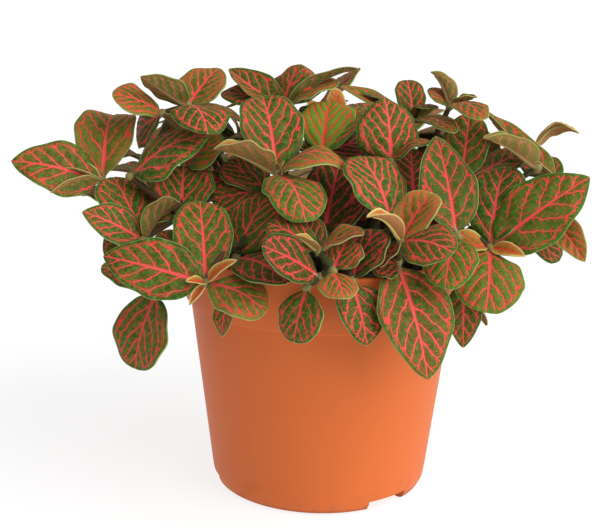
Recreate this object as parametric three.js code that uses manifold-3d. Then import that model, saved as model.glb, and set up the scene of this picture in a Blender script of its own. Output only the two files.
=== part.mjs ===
// A potted nerve plant: leafy stems that stand in the soil of a round plastic pot.
// Millimetres, +Z up. The origin is the middle of the pot's flat underside, and -Y is the front.

import * as THREE from "three";
import { mergeVertices } from "three/addons/utils/BufferGeometryUtils.js";
import Module from "manifold-3d";

const wasm = await Module();
wasm.setup();

// Pot
const POT_HEIGHT = 103.5;
const RIM_RADIUS = 60;
const FOOT_RADIUS = 41.5;
const CORNER_RADIUS = 45;
const CORNER_HEIGHT = 7;
const BODY_TOP_RADIUS = 54;
const BODY_TOP_HEIGHT = 79.8;
const BAND_FOOT_RADIUS = 57;
const BAND_FOOT_HEIGHT = 83.2;
const WALL = 2.2;
const FLOOR_THICKNESS = 6.2;
const LIP_ROUND = 0.7;
const FOOT_ROUND = [
  { out: 1.8, up: 0.9 },
  { out: 2.9, up: 3 },
];
const HOLLOW_CORNER_WIDTH = 4;
const HOLLOW_CORNER_HEIGHT = 5;
const POT_SIDES = 36;
const CHANNEL_WIDTH = 19;
const CHANNEL_DEPTH = 4.4;
const CHANNEL_INNER_END = 14;
const CHANNEL_HEADINGS = [-51, -171, 69];
const DRAIN_RADIUS = 3.5;
const DRAIN_DISTANCE = 24;
const DRAIN_SIDES = 12;
const POT_COLOR = 0xc8683a;
const POT_ROUGHNESS = 0.55;

// Soil
const GAP = 0.3;
const SOIL_TOP = 96.5;
const SOIL_CROWN = 1.5;
const SOIL_SHOULDER = { across: 0.55, up: 0.7 };
const HOLE_RADIUS = 2.2;
const HOLE_DEPTH = 12;
const SOIL_COLOR = 0x3a2a20;
const SOIL_ROUGHNESS = 0.95;

// Stems and leaves
const STEM_RADIUS = 1.4;
const STEM_SIDES = 5;
const STEM_STEPS = 3;
const BRANCH_STEPS = 2;
const STEM_RISE = 2.5;
const STEM_LEAN_SHARE = 0.45;
const STEM_RISE_SHARE = 0.62;
const HIGH_JOINT = POT_HEIGHT + 20;
const RIM_PASS_HEIGHT = POT_HEIGHT + 12;
const RIM_PASS_ARCH = 8;
const BLADE_THICKNESS = 0.9;
const ROOT_HALF_WIDTH = 0.9;
const STALK_SHARE = 0.07;
const ROUND_BLADE = { scale: 2.068, rootPower: 0.55, tipPower: 0.5 };
const POINTED_BLADE = { scale: 2.378, rootPower: 0.5, tipPower: 0.8 };
const ROOT_SAG = 0.8;
const TIP_SAG = 1.2;
const MIDRIB_FOLD = 0.4;
const BROAD_LEAF = 23;
const SMALL_LEAF = 9.5;
const BROAD_LEAF_COLUMNS = [-1, -0.5, 0, 0.5, 1];
const LEAF_COLUMNS = [-1, 0, 1];
const SMALL_LEAF_ROWS = [0, 0.4];
const FRONT_LEAF_ROWS = [0, 0.2, 0.53, 0.86];
const BACK_LEAF_ROWS = [0, 0.25, 0.75];
const SLOPE_STEP = 0.01;
const SIDE_STEP = 0.02;
const KNOB_RADIUS = 2.6;
const FUSE_TOLERANCE = 0.2;
const CLEARANCE = 3.2;
const TIGHT_CLEARANCE = 2.6;
const POT_CLEARANCE = 2.2;
const LEAF_COLOR = 0x4c7a34;
const LEAF_ROUGHNESS = 0.6;

// The photograph's view: picture points are [column, row, depth], where depth is the point's Y.
const VIEW_TARGET = new THREE.Vector3(-9.2, 0, 92);
const VIEW_DISTANCE = 600;
const VIEW_ELEVATION = THREE.MathUtils.degToRad(16.34);
const VIEW_ROLL = THREE.MathUtils.degToRad(0.87);
const VIEW_FOCAL = 1463;
const PICTURE_CENTRE = [300, 263.5];

const UP = new THREE.Vector3(0, 0, 1);
const VIEW_BACK = new THREE.Vector3(0, -Math.cos(VIEW_ELEVATION), Math.sin(VIEW_ELEVATION));
const VIEW_EYE = VIEW_TARGET.clone().addScaledVector(VIEW_BACK, VIEW_DISTANCE);

const degrees = THREE.MathUtils.degToRad;

// Stems that the photograph shows. Each joint is [column, row, depth] and may grow from an earlier
// joint. A leaf grows at a joint to its tip and has a width, an arch (rise of the midrib over its
// chord), a roll toward the viewer and a fold of its halves toward the upper side, in degrees. Its
// tip is round unless it is pointed.
const FRONT_STEMS = [
  {
    name: "centre_crown",
    joints: [{ place: [268, 190, -14] }, { place: [277, 173, -22] }],
    leaves: [
      { at: 1, tip: [262, 96, 2], wide: 26, arch: 0.1, roll: 0, fold: 10 },
      { at: 1, tip: [214, 149, -26], wide: 19, arch: 0.06, roll: -10, fold: 45, pointed: true },
      { at: 1, tip: [351, 172, -30], wide: 21, arch: 0.3, roll: 10, fold: -10, pointed: true },
      { at: 1, tip: [306, 222, -56], wide: 24, arch: 0.14, roll: 0, fold: -8 },
      { at: 0, tip: [227, 161, -2], wide: 20, arch: 0.05, roll: 20, fold: 5 },
      { at: 0, tip: [212, 200, -16], wide: 19, arch: 0.06, roll: 40, fold: 0 },
      { at: 0, tip: [205, 178, 6], wide: 19, arch: 0.06, roll: 40, fold: 0 },
      { at: 1, tip: [271, 160, -26], wide: 4, arch: 0.05, roll: 0, fold: 30, pointed: true },
      { at: 1, tip: [284, 161, -20], wide: 4, arch: 0.05, roll: 0, fold: 30, pointed: true },
    ],
  },
  {
    name: "left_front",
    joints: [
      { place: [206, 283, -58] },
      { place: [228, 298, -60], from: 0 },
      { place: [236, 258, -42] },
    ],
    leaves: [
      { at: 0, tip: [200, 201, -32], wide: 23, arch: 0.06, roll: 0, fold: 8 },
      { at: 0, tip: [103, 256, -52], wide: 23, arch: 0.08, roll: 60, fold: 0, pointed: true },
      { at: 0, tip: [266, 313, -68], wide: 21, arch: 0.18, roll: 30, fold: -10 },
      { at: 0, tip: [186, 281, -64], wide: 5, arch: 0.05, roll: 30, fold: 25, pointed: true },
      { at: 0, tip: [237, 260, -62], wide: 6, arch: 0.08, roll: 40, fold: 20, pointed: true },
      { at: 0, tip: [189, 305, -62], wide: 4, arch: 0.05, roll: 30, fold: 30, pointed: true },
      { at: 1, tip: [222, 337, -63], wide: 9, arch: 0.06, roll: 0, fold: 12, pointed: true },
      { at: 2, tip: [268, 196, -28], wide: 26, arch: 0.08, roll: 0, fold: 0 },
      { at: 2, tip: [288, 283, -56], wide: 20, arch: 0.1, roll: 20, fold: 0 },
      { at: 0, tip: [160, 232, -30], wide: 19, arch: 0.06, roll: 20, fold: 0 },
    ],
  },
  {
    name: "left_inner",
    joints: [
      { place: [181, 215, -24] },
      { place: [143, 240, -28], from: 0 },
      { place: [130, 177, -14], from: 0 },
      { place: [184, 166, -4], from: 0 },
    ],
    leaves: [
      { at: 0, tip: [184, 166, -2], wide: 25, arch: 0.06, roll: 0, fold: 6 },
      { at: 0, tip: [152, 206, -16], wide: 16, arch: 0.06, roll: 30, fold: 0 },
      { at: 1, tip: [82, 212, -34], wide: 17, arch: 0.08, roll: 50, fold: 6, pointed: true },
      { at: 1, tip: [113, 177, -8], wide: 25, arch: 0.06, roll: 0, fold: 6 },
      { at: 1, tip: [178, 201, -28], wide: 13, arch: 0.1, roll: -50, fold: 20 },
      { at: 2, tip: [209, 136, -12], wide: 26, arch: 0.14, roll: 25, fold: -8, pointed: true },
      { at: 3, tip: [224, 141, 4], wide: 18, arch: 0.1, roll: 40, fold: 0 },
      { at: 3, tip: [223, 188, 4], wide: 18, arch: 0.06, roll: 40, fold: 0 },
    ],
  },
  {
    name: "top_left",
    joints: [{ place: [188, 106, 4] }, { place: [162, 113, 2], from: 0 }],
    leaves: [
      { at: 0, tip: [219, 68, 22], wide: 21, arch: 0.06, roll: 10, fold: 10, pointed: true },
      { at: 0, tip: [141, 76, -4], wide: 16, arch: 0, roll: -40, fold: 20, pointed: true },
      { at: 0, tip: [208, 134, -26], wide: 23, arch: 0.15, roll: 0, fold: -8 },
      { at: 1, tip: [112, 95, -4], wide: 19, arch: 0.1, roll: 28, fold: 0 },
      { at: 1, tip: [136, 135, 8], wide: 20, arch: 0.06, roll: 65, fold: 0 },
      { at: 1, tip: [182, 129, -12], wide: 12, arch: 0.06, roll: -40, fold: 0 },
    ],
  },
  {
    name: "top_centre",
    joints: [{ place: [283, 107, 14] }, { place: [245, 122, 10], from: 0 }],
    leaves: [
      { at: 0, tip: [301, 64, 22], wide: 24, arch: 0.1, roll: 0, fold: -14 },
      { at: 0, tip: [229, 69, 10], wide: 17, arch: -0.03, roll: 30, fold: 30, pointed: true },
      { at: 0, tip: [358, 68, 8], wide: 10, arch: 0.08, roll: -30, fold: 20, pointed: true },
      { at: 0, tip: [221, 93, 20], wide: 13, arch: 0.08, roll: 30, fold: 0 },
      { at: 1, tip: [201, 104, 0], wide: 15, arch: 0.12, roll: -5, fold: -6 },
      { at: 0, tip: [318, 88, 30], wide: 18, arch: 0.1, roll: 0, fold: 0 },
      { at: 0, tip: [339, 82, 12], wide: 18, arch: 0.1, roll: 10, fold: 0 },
    ],
  },
  {
    name: "top_right_middle",
    joints: [{ place: [414, 120, 16] }],
    leaves: [
      { at: 0, tip: [361, 93, 22], wide: 10, arch: 0.1, roll: -5, fold: 0, pointed: true },
      { at: 0, tip: [434, 108, 6], wide: 13, arch: 0.26, roll: -5, fold: -10 },
      { at: 0, tip: [460, 123, 0], wide: 18, arch: 0.1, roll: 0, fold: -6 },
      { at: 0, tip: [455, 133, -8], wide: 10, arch: 0.1, roll: 10, fold: 0 },
      { at: 0, tip: [407, 80, 30], wide: 13, arch: 0.08, roll: 0, fold: 10 },
      { at: 0, tip: [341, 86, 26], wide: 12, arch: 0.02, roll: 10, fold: 10 },
    ],
  },
  {
    name: "left_hanging",
    joints: [{ place: [156, 290, -34] }],
    leaves: [
      { at: 0, tip: [135, 369, -42], wide: 31, arch: 0.06, roll: 0, fold: 6 },
      { at: 0, tip: [101, 267, -38], wide: 12, arch: 0.08, roll: 40, fold: 0 },
    ],
  },
  {
    name: "far_left",
    joints: [{ place: [103, 181, -8] }],
    leaves: [
      { at: 0, tip: [11, 161, -16], wide: 23, arch: 0.1, roll: 55, fold: 0, pointed: true },
      { at: 0, tip: [114, 115, 18], wide: 25, arch: 0.16, roll: 0, fold: 12 },
      { at: 0, tip: [56, 167, -20], wide: 9, arch: 0.04, roll: 20, fold: 50, pointed: true },
      { at: 0, tip: [50, 193, -22], wide: 8, arch: 0.06, roll: -40, fold: 20, pointed: true },
    ],
  },
  {
    name: "centre_back",
    joints: [{ place: [322, 153, -8] }],
    leaves: [
      { at: 0, tip: [331, 102, 14], wide: 23, arch: 0.12, roll: 0, fold: 4 },
      { at: 0, tip: [364, 108, 4], wide: 18, arch: 0.06, roll: 10, fold: 10 },
      { at: 0, tip: [364, 142, 2], wide: 18, arch: 0.06, roll: 30, fold: 0 },
    ],
  },
  {
    name: "centre_shade",
    joints: [{ place: [324, 236, -34] }],
    leaves: [
      { at: 0, tip: [341, 160, -14], wide: 23, arch: 0.06, roll: 0, fold: 6 },
      { at: 0, tip: [364, 186, -24], wide: 19, arch: 0.06, roll: 10, fold: 0 },
      { at: 0, tip: [285, 212, -26], wide: 19, arch: 0.06, roll: 20, fold: 0 },
    ],
  },
  {
    name: "front_centre",
    joints: [
      { place: [319, 251, -60] },
      { place: [333, 271, -66], from: 0 },
      { place: [320, 277, -64], from: 1 },
      { place: [307, 287, -66], from: 2 },
    ],
    leaves: [
      { at: 0, tip: [303, 217, -52], wide: 12, arch: 0.06, roll: 10, fold: 6 },
      { at: 0, tip: [364, 233, -62], wide: 14, arch: 0.12, roll: 10, fold: 10 },
      { at: 0, tip: [268, 223, -52], wide: 14, arch: 0.08, roll: 30, fold: 0 },
      { at: 0, tip: [296, 235, -66], wide: 6, arch: 0.02, roll: 10, fold: 50, pointed: true },
      { at: 2, tip: [262, 246, -62], wide: 17, arch: 0.06, roll: 60, fold: 0 },
      { at: 1, tip: [349, 239, -58], wide: 18, arch: 0.08, roll: 10, fold: 0 },
      { at: 1, tip: [344, 299, -80], wide: 15, arch: 0.1, roll: 0, fold: -10 },
      { at: 3, tip: [294, 343, -72], wide: 20, arch: 0.06, roll: 0, fold: -6 },
    ],
  },
  {
    name: "front_right_hanging",
    joints: [{ place: [352, 281, -62] }],
    leaves: [
      { at: 0, tip: [367, 346, -68], wide: 20, arch: 0.05, roll: 0, fold: 6, pointed: true },
      { at: 0, tip: [381, 230, -48], wide: 20, arch: 0.06, roll: 0, fold: 0 },
    ],
  },
  {
    name: "right_front",
    joints: [{ place: [401, 241, -56] }, { place: [398, 262, -52], from: 0 }],
    leaves: [
      { at: 0, tip: [433, 193, -46], wide: 18, arch: 0.08, roll: 10, fold: 10 },
      { at: 0, tip: [367, 217, -60], wide: 9, arch: 0.05, roll: 10, fold: 55, pointed: true },
      { at: 0, tip: [454, 253, -72], wide: 20, arch: 0.14, roll: 35, fold: -6 },
      { at: 1, tip: [428, 380, -66], wide: 31, arch: 0.05, roll: 0, fold: 6, pointed: true },
      { at: 0, tip: [380, 267, -68], wide: 10, arch: 0.08, roll: 0, fold: 20, pointed: true },
      { at: 1, tip: [370, 268, -62], wide: 15, arch: 0.08, roll: 30, fold: 0 },
    ],
  },
  {
    name: "right_centre",
    joints: [{ place: [391, 220, -42] }],
    leaves: [
      { at: 0, tip: [358, 156, -22], wide: 27, arch: 0.12, roll: 0, fold: 4 },
    ],
  },
  {
    name: "right_crown",
    joints: [{ place: [391, 163, -16] }],
    leaves: [
      { at: 0, tip: [384, 97, 10], wide: 27, arch: 0.1, roll: 0, fold: -8, pointed: true },
      { at: 0, tip: [432, 141, -14], wide: 13, arch: 0.2, roll: 0, fold: -6 },
    ],
  },
  {
    name: "right_shade",
    joints: [{ place: [414, 197, -24] }],
    leaves: [
      { at: 0, tip: [411, 149, -6], wide: 18, arch: 0.06, roll: 0, fold: 0 },
    ],
  },
  {
    name: "right_upright",
    joints: [{ place: [457, 236, -42] }],
    leaves: [
      { at: 0, tip: [436, 136, -20], wide: 24, arch: 0.05, roll: 0, fold: 6, pointed: true },
      { at: 0, tip: [445, 289, -66], wide: 21, arch: 0.15, roll: 0, fold: -6 },
    ],
  },
  {
    name: "far_right",
    joints: [{ place: [490, 248, -34] }],
    leaves: [
      { at: 0, tip: [590, 177, -34], wide: 27, arch: 0.07, roll: 60, fold: 0, pointed: true },
      { at: 0, tip: [505, 167, -8], wide: 24, arch: 0.14, roll: 0, fold: 6 },
      { at: 0, tip: [486, 313, -62], wide: 28, arch: 0.13, roll: 8, fold: -6 },
      { at: 0, tip: [447, 245, -40], wide: 12, arch: 0.08, roll: 30, fold: 25 },
      { at: 0, tip: [525, 256, -44], wide: 7, arch: 0.08, roll: 40, fold: 20, pointed: true },
    ],
  },
  {
    name: "right_low",
    joints: [{ place: [463, 281, -40] }],
    leaves: [
      { at: 0, tip: [463, 348, -46], wide: 14, arch: 0.05, roll: 0, fold: 6, pointed: true },
      { at: 0, tip: [486, 325, -38], wide: 12, arch: 0.05, roll: 0, fold: 0 },
    ],
  },
  {
    name: "right_upper",
    joints: [{ place: [461, 182, -18] }],
    leaves: [
      { at: 0, tip: [470, 114, 4], wide: 19, arch: 0.06, roll: 0, fold: 6 },
      { at: 0, tip: [522, 150, -4], wide: 15, arch: 0.06, roll: 20, fold: 0 },
    ],
  },
  {
    name: "right_shoulder",
    joints: [{ place: [560, 182, -14] }, { place: [549, 216, -14], from: 0 }],
    leaves: [
      { at: 0, tip: [484, 110, -4], wide: 16, arch: -0.04, roll: 10, fold: 40, pointed: true },
      { at: 1, tip: [587, 246, -16], wide: 8, arch: 0.1, roll: 30, fold: 10, pointed: true },
      { at: 1, tip: [585, 262, -34], wide: 13, arch: 0.1, roll: 30, fold: 10, pointed: true },
      { at: 0, tip: [525, 158, 8], wide: 15, arch: 0.06, roll: 20, fold: 0 },
    ],
  },
  {
    name: "right_folded",
    joints: [{ place: [537, 168, -20] }],
    leaves: [
      { at: 0, tip: [484, 138, -26], wide: 14, arch: 0.05, roll: 0, fold: 50, pointed: true },
    ],
  },
  {
    name: "right_arching",
    joints: [{ place: [533, 147, 6] }],
    leaves: [
      { at: 0, tip: [580, 133, 4], wide: 15, arch: 0.32, roll: -30, fold: -10, pointed: true },
    ],
  },
  {
    name: "top_right",
    joints: [{ place: [450, 106, 6] }],
    leaves: [
      { at: 0, tip: [431, 72, 4], wide: 9, arch: 0.12, roll: -20, fold: 60, pointed: true },
      { at: 0, tip: [477, 97, 2], wide: 8, arch: 0.05, roll: 0, fold: 35, pointed: true },
      { at: 0, tip: [483, 120, -6], wide: 14, arch: 0.16, roll: 5, fold: -6 },
      { at: 0, tip: [428, 89, 20], wide: 10, arch: 0.08, roll: 20, fold: 0 },
    ],
  },
];

// Stems that the photograph doesn't show: the mound goes on around the pot. Each crown has a
// heading from +X toward +Y, a distance from the pot's axis and a height.
const BACK_CROWNS = [
  { heading: 8, distance: 70, height: 112 },
  { heading: 30, distance: 81, height: 118 },
  { heading: 58, distance: 80, height: 107 },
  { heading: 88, distance: 80, height: 115 },
  { heading: 118, distance: 81, height: 107 },
  { heading: 148, distance: 82, height: 117 },
  { heading: 172, distance: 68, height: 112 },
  { heading: 50, distance: 46, height: 136 },
  { heading: 95, distance: 44, height: 139 },
  { heading: 138, distance: 47, height: 135 },
  { heading: 14, distance: 46, height: 132 },
  { heading: 166, distance: 46, height: 136 },
  { heading: 75, distance: 16, height: 148 },
  { heading: 0, distance: 8, height: 132 },
];
const BACK_SEED = 20417;
const BACK_LEAF_LENGTH = 36;
const BACK_LEAF_RATIO = 0.64;
const BACK_LEAF_TURNS = [
  { turn: 0, pitch: 4, size: 1 },
  { turn: 180, pitch: 42, size: 0.9 },
  { turn: 92, pitch: 20, size: 1 },
  { turn: -88, pitch: 20, size: 1 },
  { turn: 40, pitch: -28, size: 0.95 },
  { turn: -45, pitch: -28, size: 0.95 },
  { turn: 20, pitch: 68, size: 0.4 },
];

// Where the holes of the stems may lie: a share of the first joint's reach, within a limit.
const HOLE_NEAREST = 10;
const HOLE_REACH_SHARE = 0.42;
const HOLE_FARTHEST = 47;
const HOLE_TURNS = [0, 9, -9, 18, -18, 27, -27, 38, -38];
const HOLE_SCALES = [1, 0.8, 1.15, 0.6];
const STEM_GAP_MEASURED = 9;
const STEM_GAP_ENOUGH = 4.6;
const STEM_SAMPLES = 16;

// What a leaf may change to stay clear of the other stems.
const TIP_DEPTH_SHIFTS = [0, -4, 4, -8, 8, -12, 12, -17, 17];
const ARCH_SHIFTS = [0, 0.07, -0.07];
const HEADING_SHIFTS = [0, 14, -14, 28, -28];
const PITCH_SHIFTS = [0, 14, -14, 28];
const SIZE_SHIFTS = [1, 0.8, 0.62];
const SAMPLE_ROWS = 12;
const SAMPLE_COLUMNS = 4;
const SAMPLE_START = 0.04;

// A point in space for a picture point: where its line of sight reaches the given depth.
function fromPicture([column, row, depth]) {
  const right = new THREE.Vector3(1, 0, 0);
  const up = new THREE.Vector3().crossVectors(right, VIEW_BACK.clone().negate());
  const cos = Math.cos(VIEW_ROLL);
  const sin = Math.sin(VIEW_ROLL);
  const across = (column - PICTURE_CENTRE[0]) / VIEW_FOCAL;
  const rise = (PICTURE_CENTRE[1] - row) / VIEW_FOCAL;
  const ray = VIEW_BACK.clone().negate();
  ray.addScaledVector(right, across * cos - rise * sin);
  ray.addScaledVector(up, across * sin + rise * cos);
  const reach = (depth - VIEW_EYE.y) / ray.y;
  return VIEW_EYE.clone().addScaledVector(ray, reach);
}

// The same even random numbers on every run.
function makeRandom(seed) {
  let state = seed;
  return (low, high) => {
    state = (state * 16807) % 2147483647;
    return low + ((high - low) * state) / 2147483647;
  };
}

// Radius of the pot's outer face at a height.
function potRadius(height) {
  if (height > BAND_FOOT_HEIGHT) {
    const share = (height - BAND_FOOT_HEIGHT) / (POT_HEIGHT - BAND_FOOT_HEIGHT);
    return BAND_FOOT_RADIUS + (RIM_RADIUS - BAND_FOOT_RADIUS) * share;
  }
  const share = (height - CORNER_HEIGHT) / (BODY_TOP_HEIGHT - CORNER_HEIGHT);
  return Math.min(BAND_FOOT_RADIUS, CORNER_RADIUS + (BODY_TOP_RADIUS - CORNER_RADIUS) * share);
}

// Distance from a point to the filled pot.
function distanceToPot(point) {
  const radius = Math.hypot(point.x, point.y);
  if (point.z > POT_HEIGHT) {
    return Math.hypot(point.z - POT_HEIGHT, Math.max(0, radius - RIM_RADIUS));
  }
  return radius - potRadius(point.z);
}

// The frame of a leaf: its chord, the direction of its upper side and the direction across it.
function leafFrame(leaf) {
  const chord = leaf.tipPoint.clone().sub(leaf.root);
  const length = chord.length();
  const along = chord.clone().divideScalar(length);
  const level = new THREE.Vector3().crossVectors(along, UP).normalize();
  const top = new THREE.Vector3().crossVectors(level, along);
  const side = level.dot(VIEW_BACK) < 0 ? -1 : 1;
  const roll = degrees(leaf.roll);
  const face = top.multiplyScalar(Math.cos(roll)).addScaledVector(level, side * Math.sin(roll));
  const across = new THREE.Vector3().crossVectors(along, face);
  return { length, along, face, across };
}

// Half the width of a leaf at a share of its length: a short stalk, then an oval blade.
function halfWidth(leaf, share) {
  if (share <= STALK_SHARE) {
    return ROOT_HALF_WIDTH;
  }
  const blade = (share - STALK_SHARE) / (1 - STALK_SHARE);
  const rest = Math.max(0, 1 - blade);
  const { scale, rootPower, tipPower } = leaf.pointed ? POINTED_BLADE : ROUND_BLADE;
  const oval = scale * Math.pow(blade, rootPower) * Math.pow(rest, tipPower);
  return Math.max((leaf.wide / 2) * oval, ROOT_HALF_WIDTH * rest);
}

// A point of the leaf's middle surface: share runs from root to tip, side from -1 to 1.
function leafPoint(leaf, frame, share, side) {
  const sag = (frame.length * leaf.arch * 4) / 3;
  const t = share;
  const u = 1 - t;
  const lift = 3 * sag * (u * u * t * ROOT_SAG + u * t * t * TIP_SAG);
  const liftRate = 3 * sag * (u * (u - 2 * t) * ROOT_SAG + t * (2 * u - t) * TIP_SAG);
  const slope = Math.atan2(liftRate, frame.length);
  const half = halfWidth(leaf, share);
  const bend = degrees(leaf.fold) * (MIDRIB_FOLD + (1 - MIDRIB_FOLD) * Math.abs(side));
  const out = half * side * Math.cos(bend);
  const raise = half * Math.abs(side) * Math.sin(bend);
  const point = leaf.root.clone();
  point.addScaledVector(frame.along, frame.length * t - raise * Math.sin(slope));
  point.addScaledVector(frame.face, lift + raise * Math.cos(slope));
  point.addScaledVector(frame.across, out);
  return point;
}

// Points spread over a leaf, to measure how near it comes to others.
function leafSamples(leaf) {
  const frame = leafFrame(leaf);
  const samples = [];
  for (let row = 0; row <= SAMPLE_ROWS; row += 1) {
    const share = SAMPLE_START + ((1 - SAMPLE_START) * row) / SAMPLE_ROWS;
    for (let column = -SAMPLE_COLUMNS; column <= SAMPLE_COLUMNS; column += 1) {
      samples.push(leafPoint(leaf, frame, share, column / SAMPLE_COLUMNS));
    }
  }
  return samples;
}

function smallestDistance(samples, others, limit) {
  let best = limit * limit;
  for (const a of samples) {
    for (const b of others) {
      const dx = a.x - b.x;
      const dy = a.y - b.y;
      const dz = a.z - b.z;
      const square = dx * dx + dy * dy + dz * dz;
      if (square < best) {
        best = square;
      }
    }
  }
  return Math.sqrt(best);
}

function boundingBall(points) {
  const sphere = new THREE.Sphere();
  sphere.setFromPoints(points);
  return sphere;
}

// A leg of a stem: a curve that leaves its start upright or along the parent's line.
function stemLeg(start, end, fromSoil) {
  const middle = start.clone().lerp(end, 0.5);
  if (fromSoil) {
    middle.x = start.x + (end.x - start.x) * STEM_LEAN_SHARE;
    middle.y = start.y + (end.y - start.y) * STEM_LEAN_SHARE;
    middle.z = Math.max(end.z, RIM_PASS_HEIGHT) + RIM_PASS_ARCH;
    if (end.z > HIGH_JOINT) {
      middle.z = start.z + (end.z - start.z) * STEM_RISE_SHARE;
    }
  }
  return new THREE.QuadraticBezierCurve3(start, middle, end);
}

function legsOf(stem, hole) {
  const start = new THREE.Vector3(hole.x, hole.y, SOIL_TOP + STEM_RISE);
  return stem.joints.map((joint) => {
    if (joint.from === undefined) {
      return stemLeg(start, joint.point, true);
    }
    return stemLeg(stem.joints[joint.from].point, joint.point, false);
  });
}

// Finds each stem a hole in the soil from which it reaches its first joint clear of the others.
function rootStems(stems) {
  const placed = [];
  for (const stem of stems) {
    const first = stem.joints[0].point;
    const reach = Math.hypot(first.x, first.y);
    const heading = Math.atan2(first.y, first.x);
    let choice = null;
    for (const scale of HOLE_SCALES) {
      for (const turn of HOLE_TURNS) {
        const wanted = (HOLE_NEAREST + HOLE_REACH_SHARE * reach) * scale;
        const radius = Math.min(HOLE_FARTHEST, wanted);
        const angle = heading + degrees(turn);
        const hole = new THREE.Vector2(Math.cos(angle), Math.sin(angle)).multiplyScalar(radius);
        const legs = legsOf(stem, hole);
        const samples = legs.flatMap((leg) => leg.getPoints(STEM_SAMPLES));
        let near = STEM_GAP_MEASURED;
        for (const other of placed) {
          near = Math.min(near, smallestDistance(samples, other.samples, near));
        }
        if (!choice || (near > choice.near && choice.near < STEM_GAP_ENOUGH)) {
          choice = { hole, legs, samples, near };
        }
      }
    }
    Object.assign(stem, choice);
    placed.push(stem);
  }
}

// The forms that a leaf may take, the wanted one first.
function leafChoices(leaf) {
  const choices = [];
  if (leaf.tip) {
    for (const arch of ARCH_SHIFTS) {
      for (const shift of TIP_DEPTH_SHIFTS) {
        const [column, row, depth] = leaf.tip;
        const tipPoint = fromPicture([column, row, depth + shift]);
        choices.push({ ...leaf, tipPoint, arch: leaf.arch + arch });
      }
    }
    return choices;
  }
  for (const size of SIZE_SHIFTS) {
    for (const headingShift of HEADING_SHIFTS) {
      for (const pitchShift of PITCH_SHIFTS) {
        const heading = degrees(leaf.heading + headingShift);
        const pitch = degrees(leaf.pitch + pitchShift);
        const step = new THREE.Vector3(Math.cos(heading), Math.sin(heading), 0);
        step.multiplyScalar(Math.cos(pitch)).addScaledVector(UP, Math.sin(pitch));
        const tipPoint = leaf.root.clone().addScaledVector(step, leaf.length * size);
        choices.push({ ...leaf, tipPoint, wide: leaf.wide * size });
      }
    }
  }
  return choices;
}

// Settles the leaves one by one, each clear of the pot and of the other stems and their leaves.
function settleLeaves(stems) {
  for (const stem of stems) {
    stem.settled = [];
  }
  for (const stem of stems) {
    for (const leaf of stem.leaves) {
      let best = null;
      for (const choice of leafChoices(leaf)) {
        const near = clearanceOf(choice, stem, stems);
        if (!best || near > best.near) {
          best = { choice, near };
        }
        if (near >= CLEARANCE) {
          best = { choice, near };
          break;
        }
      }
      if (leaf.tip || best.near >= TIGHT_CLEARANCE) {
        const samples = leafSamples(best.choice);
        stem.settled.push({ ...best.choice, near: best.near, samples, ball: boundingBall(samples) });
      }
    }
  }
}

function clearanceOf(leaf, stem, stems) {
  const samples = leafSamples(leaf);
  const ball = boundingBall(samples);
  let near = CLEARANCE;
  for (const sample of samples) {
    near = Math.min(near, (distanceToPot(sample) * CLEARANCE) / POT_CLEARANCE);
  }
  for (const other of stems) {
    if (other === stem) {
      continue;
    }
    near = Math.min(near, smallestDistance(samples, other.samples, near));
    for (const leafThere of other.settled) {
      if (leafThere.ball.center.distanceTo(ball.center) < leafThere.ball.radius + ball.radius + near) {
        near = Math.min(near, smallestDistance(samples, leafThere.samples, near));
      }
    }
  }
  return near;
}

function readFrontStems() {
  return FRONT_STEMS.map((stem) => {
    const joints = stem.joints.map((joint) => ({ point: fromPicture(joint.place), from: joint.from }));
    const leaves = stem.leaves.map((leaf) => ({ ...leaf, root: joints[leaf.at].point }));
    return { name: stem.name, joints, leaves };
  });
}

function growBackStems() {
  const random = makeRandom(BACK_SEED);
  return BACK_CROWNS.map((crown, index) => {
    const heading = degrees(crown.heading);
    const point = new THREE.Vector3(
      crown.distance * Math.cos(heading),
      crown.distance * Math.sin(heading),
      crown.height,
    );
    const leaves = BACK_LEAF_TURNS.map((turn) => {
      const length = BACK_LEAF_LENGTH * turn.size * random(0.9, 1.12);
      return {
        root: point,
        heading: crown.heading + turn.turn + random(-14, 14),
        pitch: turn.pitch + random(-8, 8),
        length,
        wide: length * BACK_LEAF_RATIO * random(0.92, 1.08),
        arch: random(0.08, 0.17),
        roll: random(-14, 14),
        fold: random(-8, 12),
      };
    });
    return { name: `back_${String(index + 1).padStart(2, "0")}`, joints: [{ point }], leaves };
  });
}

// A closed solid from a three.js geometry.
function toSolid(geometry) {
  const bare = geometry.clone();
  bare.deleteAttribute("normal");
  bare.deleteAttribute("uv");
  const merged = mergeVertices(bare, 1e-4);
  const mesh = new wasm.Mesh({
    numProp: 3,
    vertProperties: new Float32Array(merged.attributes.position.array),
    triVerts: new Uint32Array(merged.index.array),
  });
  return new wasm.Manifold(mesh);
}

function toGeometry(solid) {
  const mesh = solid.getMesh();
  const geometry = new THREE.BufferGeometry();
  geometry.setAttribute("position", new THREE.BufferAttribute(mesh.vertProperties, 3));
  geometry.setIndex(new THREE.BufferAttribute(mesh.triVerts, 1));
  return geometry;
}

// The largest body of a solid, without loose scraps or sealed hollows.
function mainBody(solid) {
  const bodies = solid.decompose();
  bodies.sort((a, b) => b.volume() - a.volume());
  return bodies[0];
}

// Shares of a leaf's length at which its skins have a row of corners.
function leafRows(leaf) {
  if (leaf.wide < SMALL_LEAF) {
    return SMALL_LEAF_ROWS;
  }
  return leaf.tip ? FRONT_LEAF_ROWS : BACK_LEAF_ROWS;
}

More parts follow.
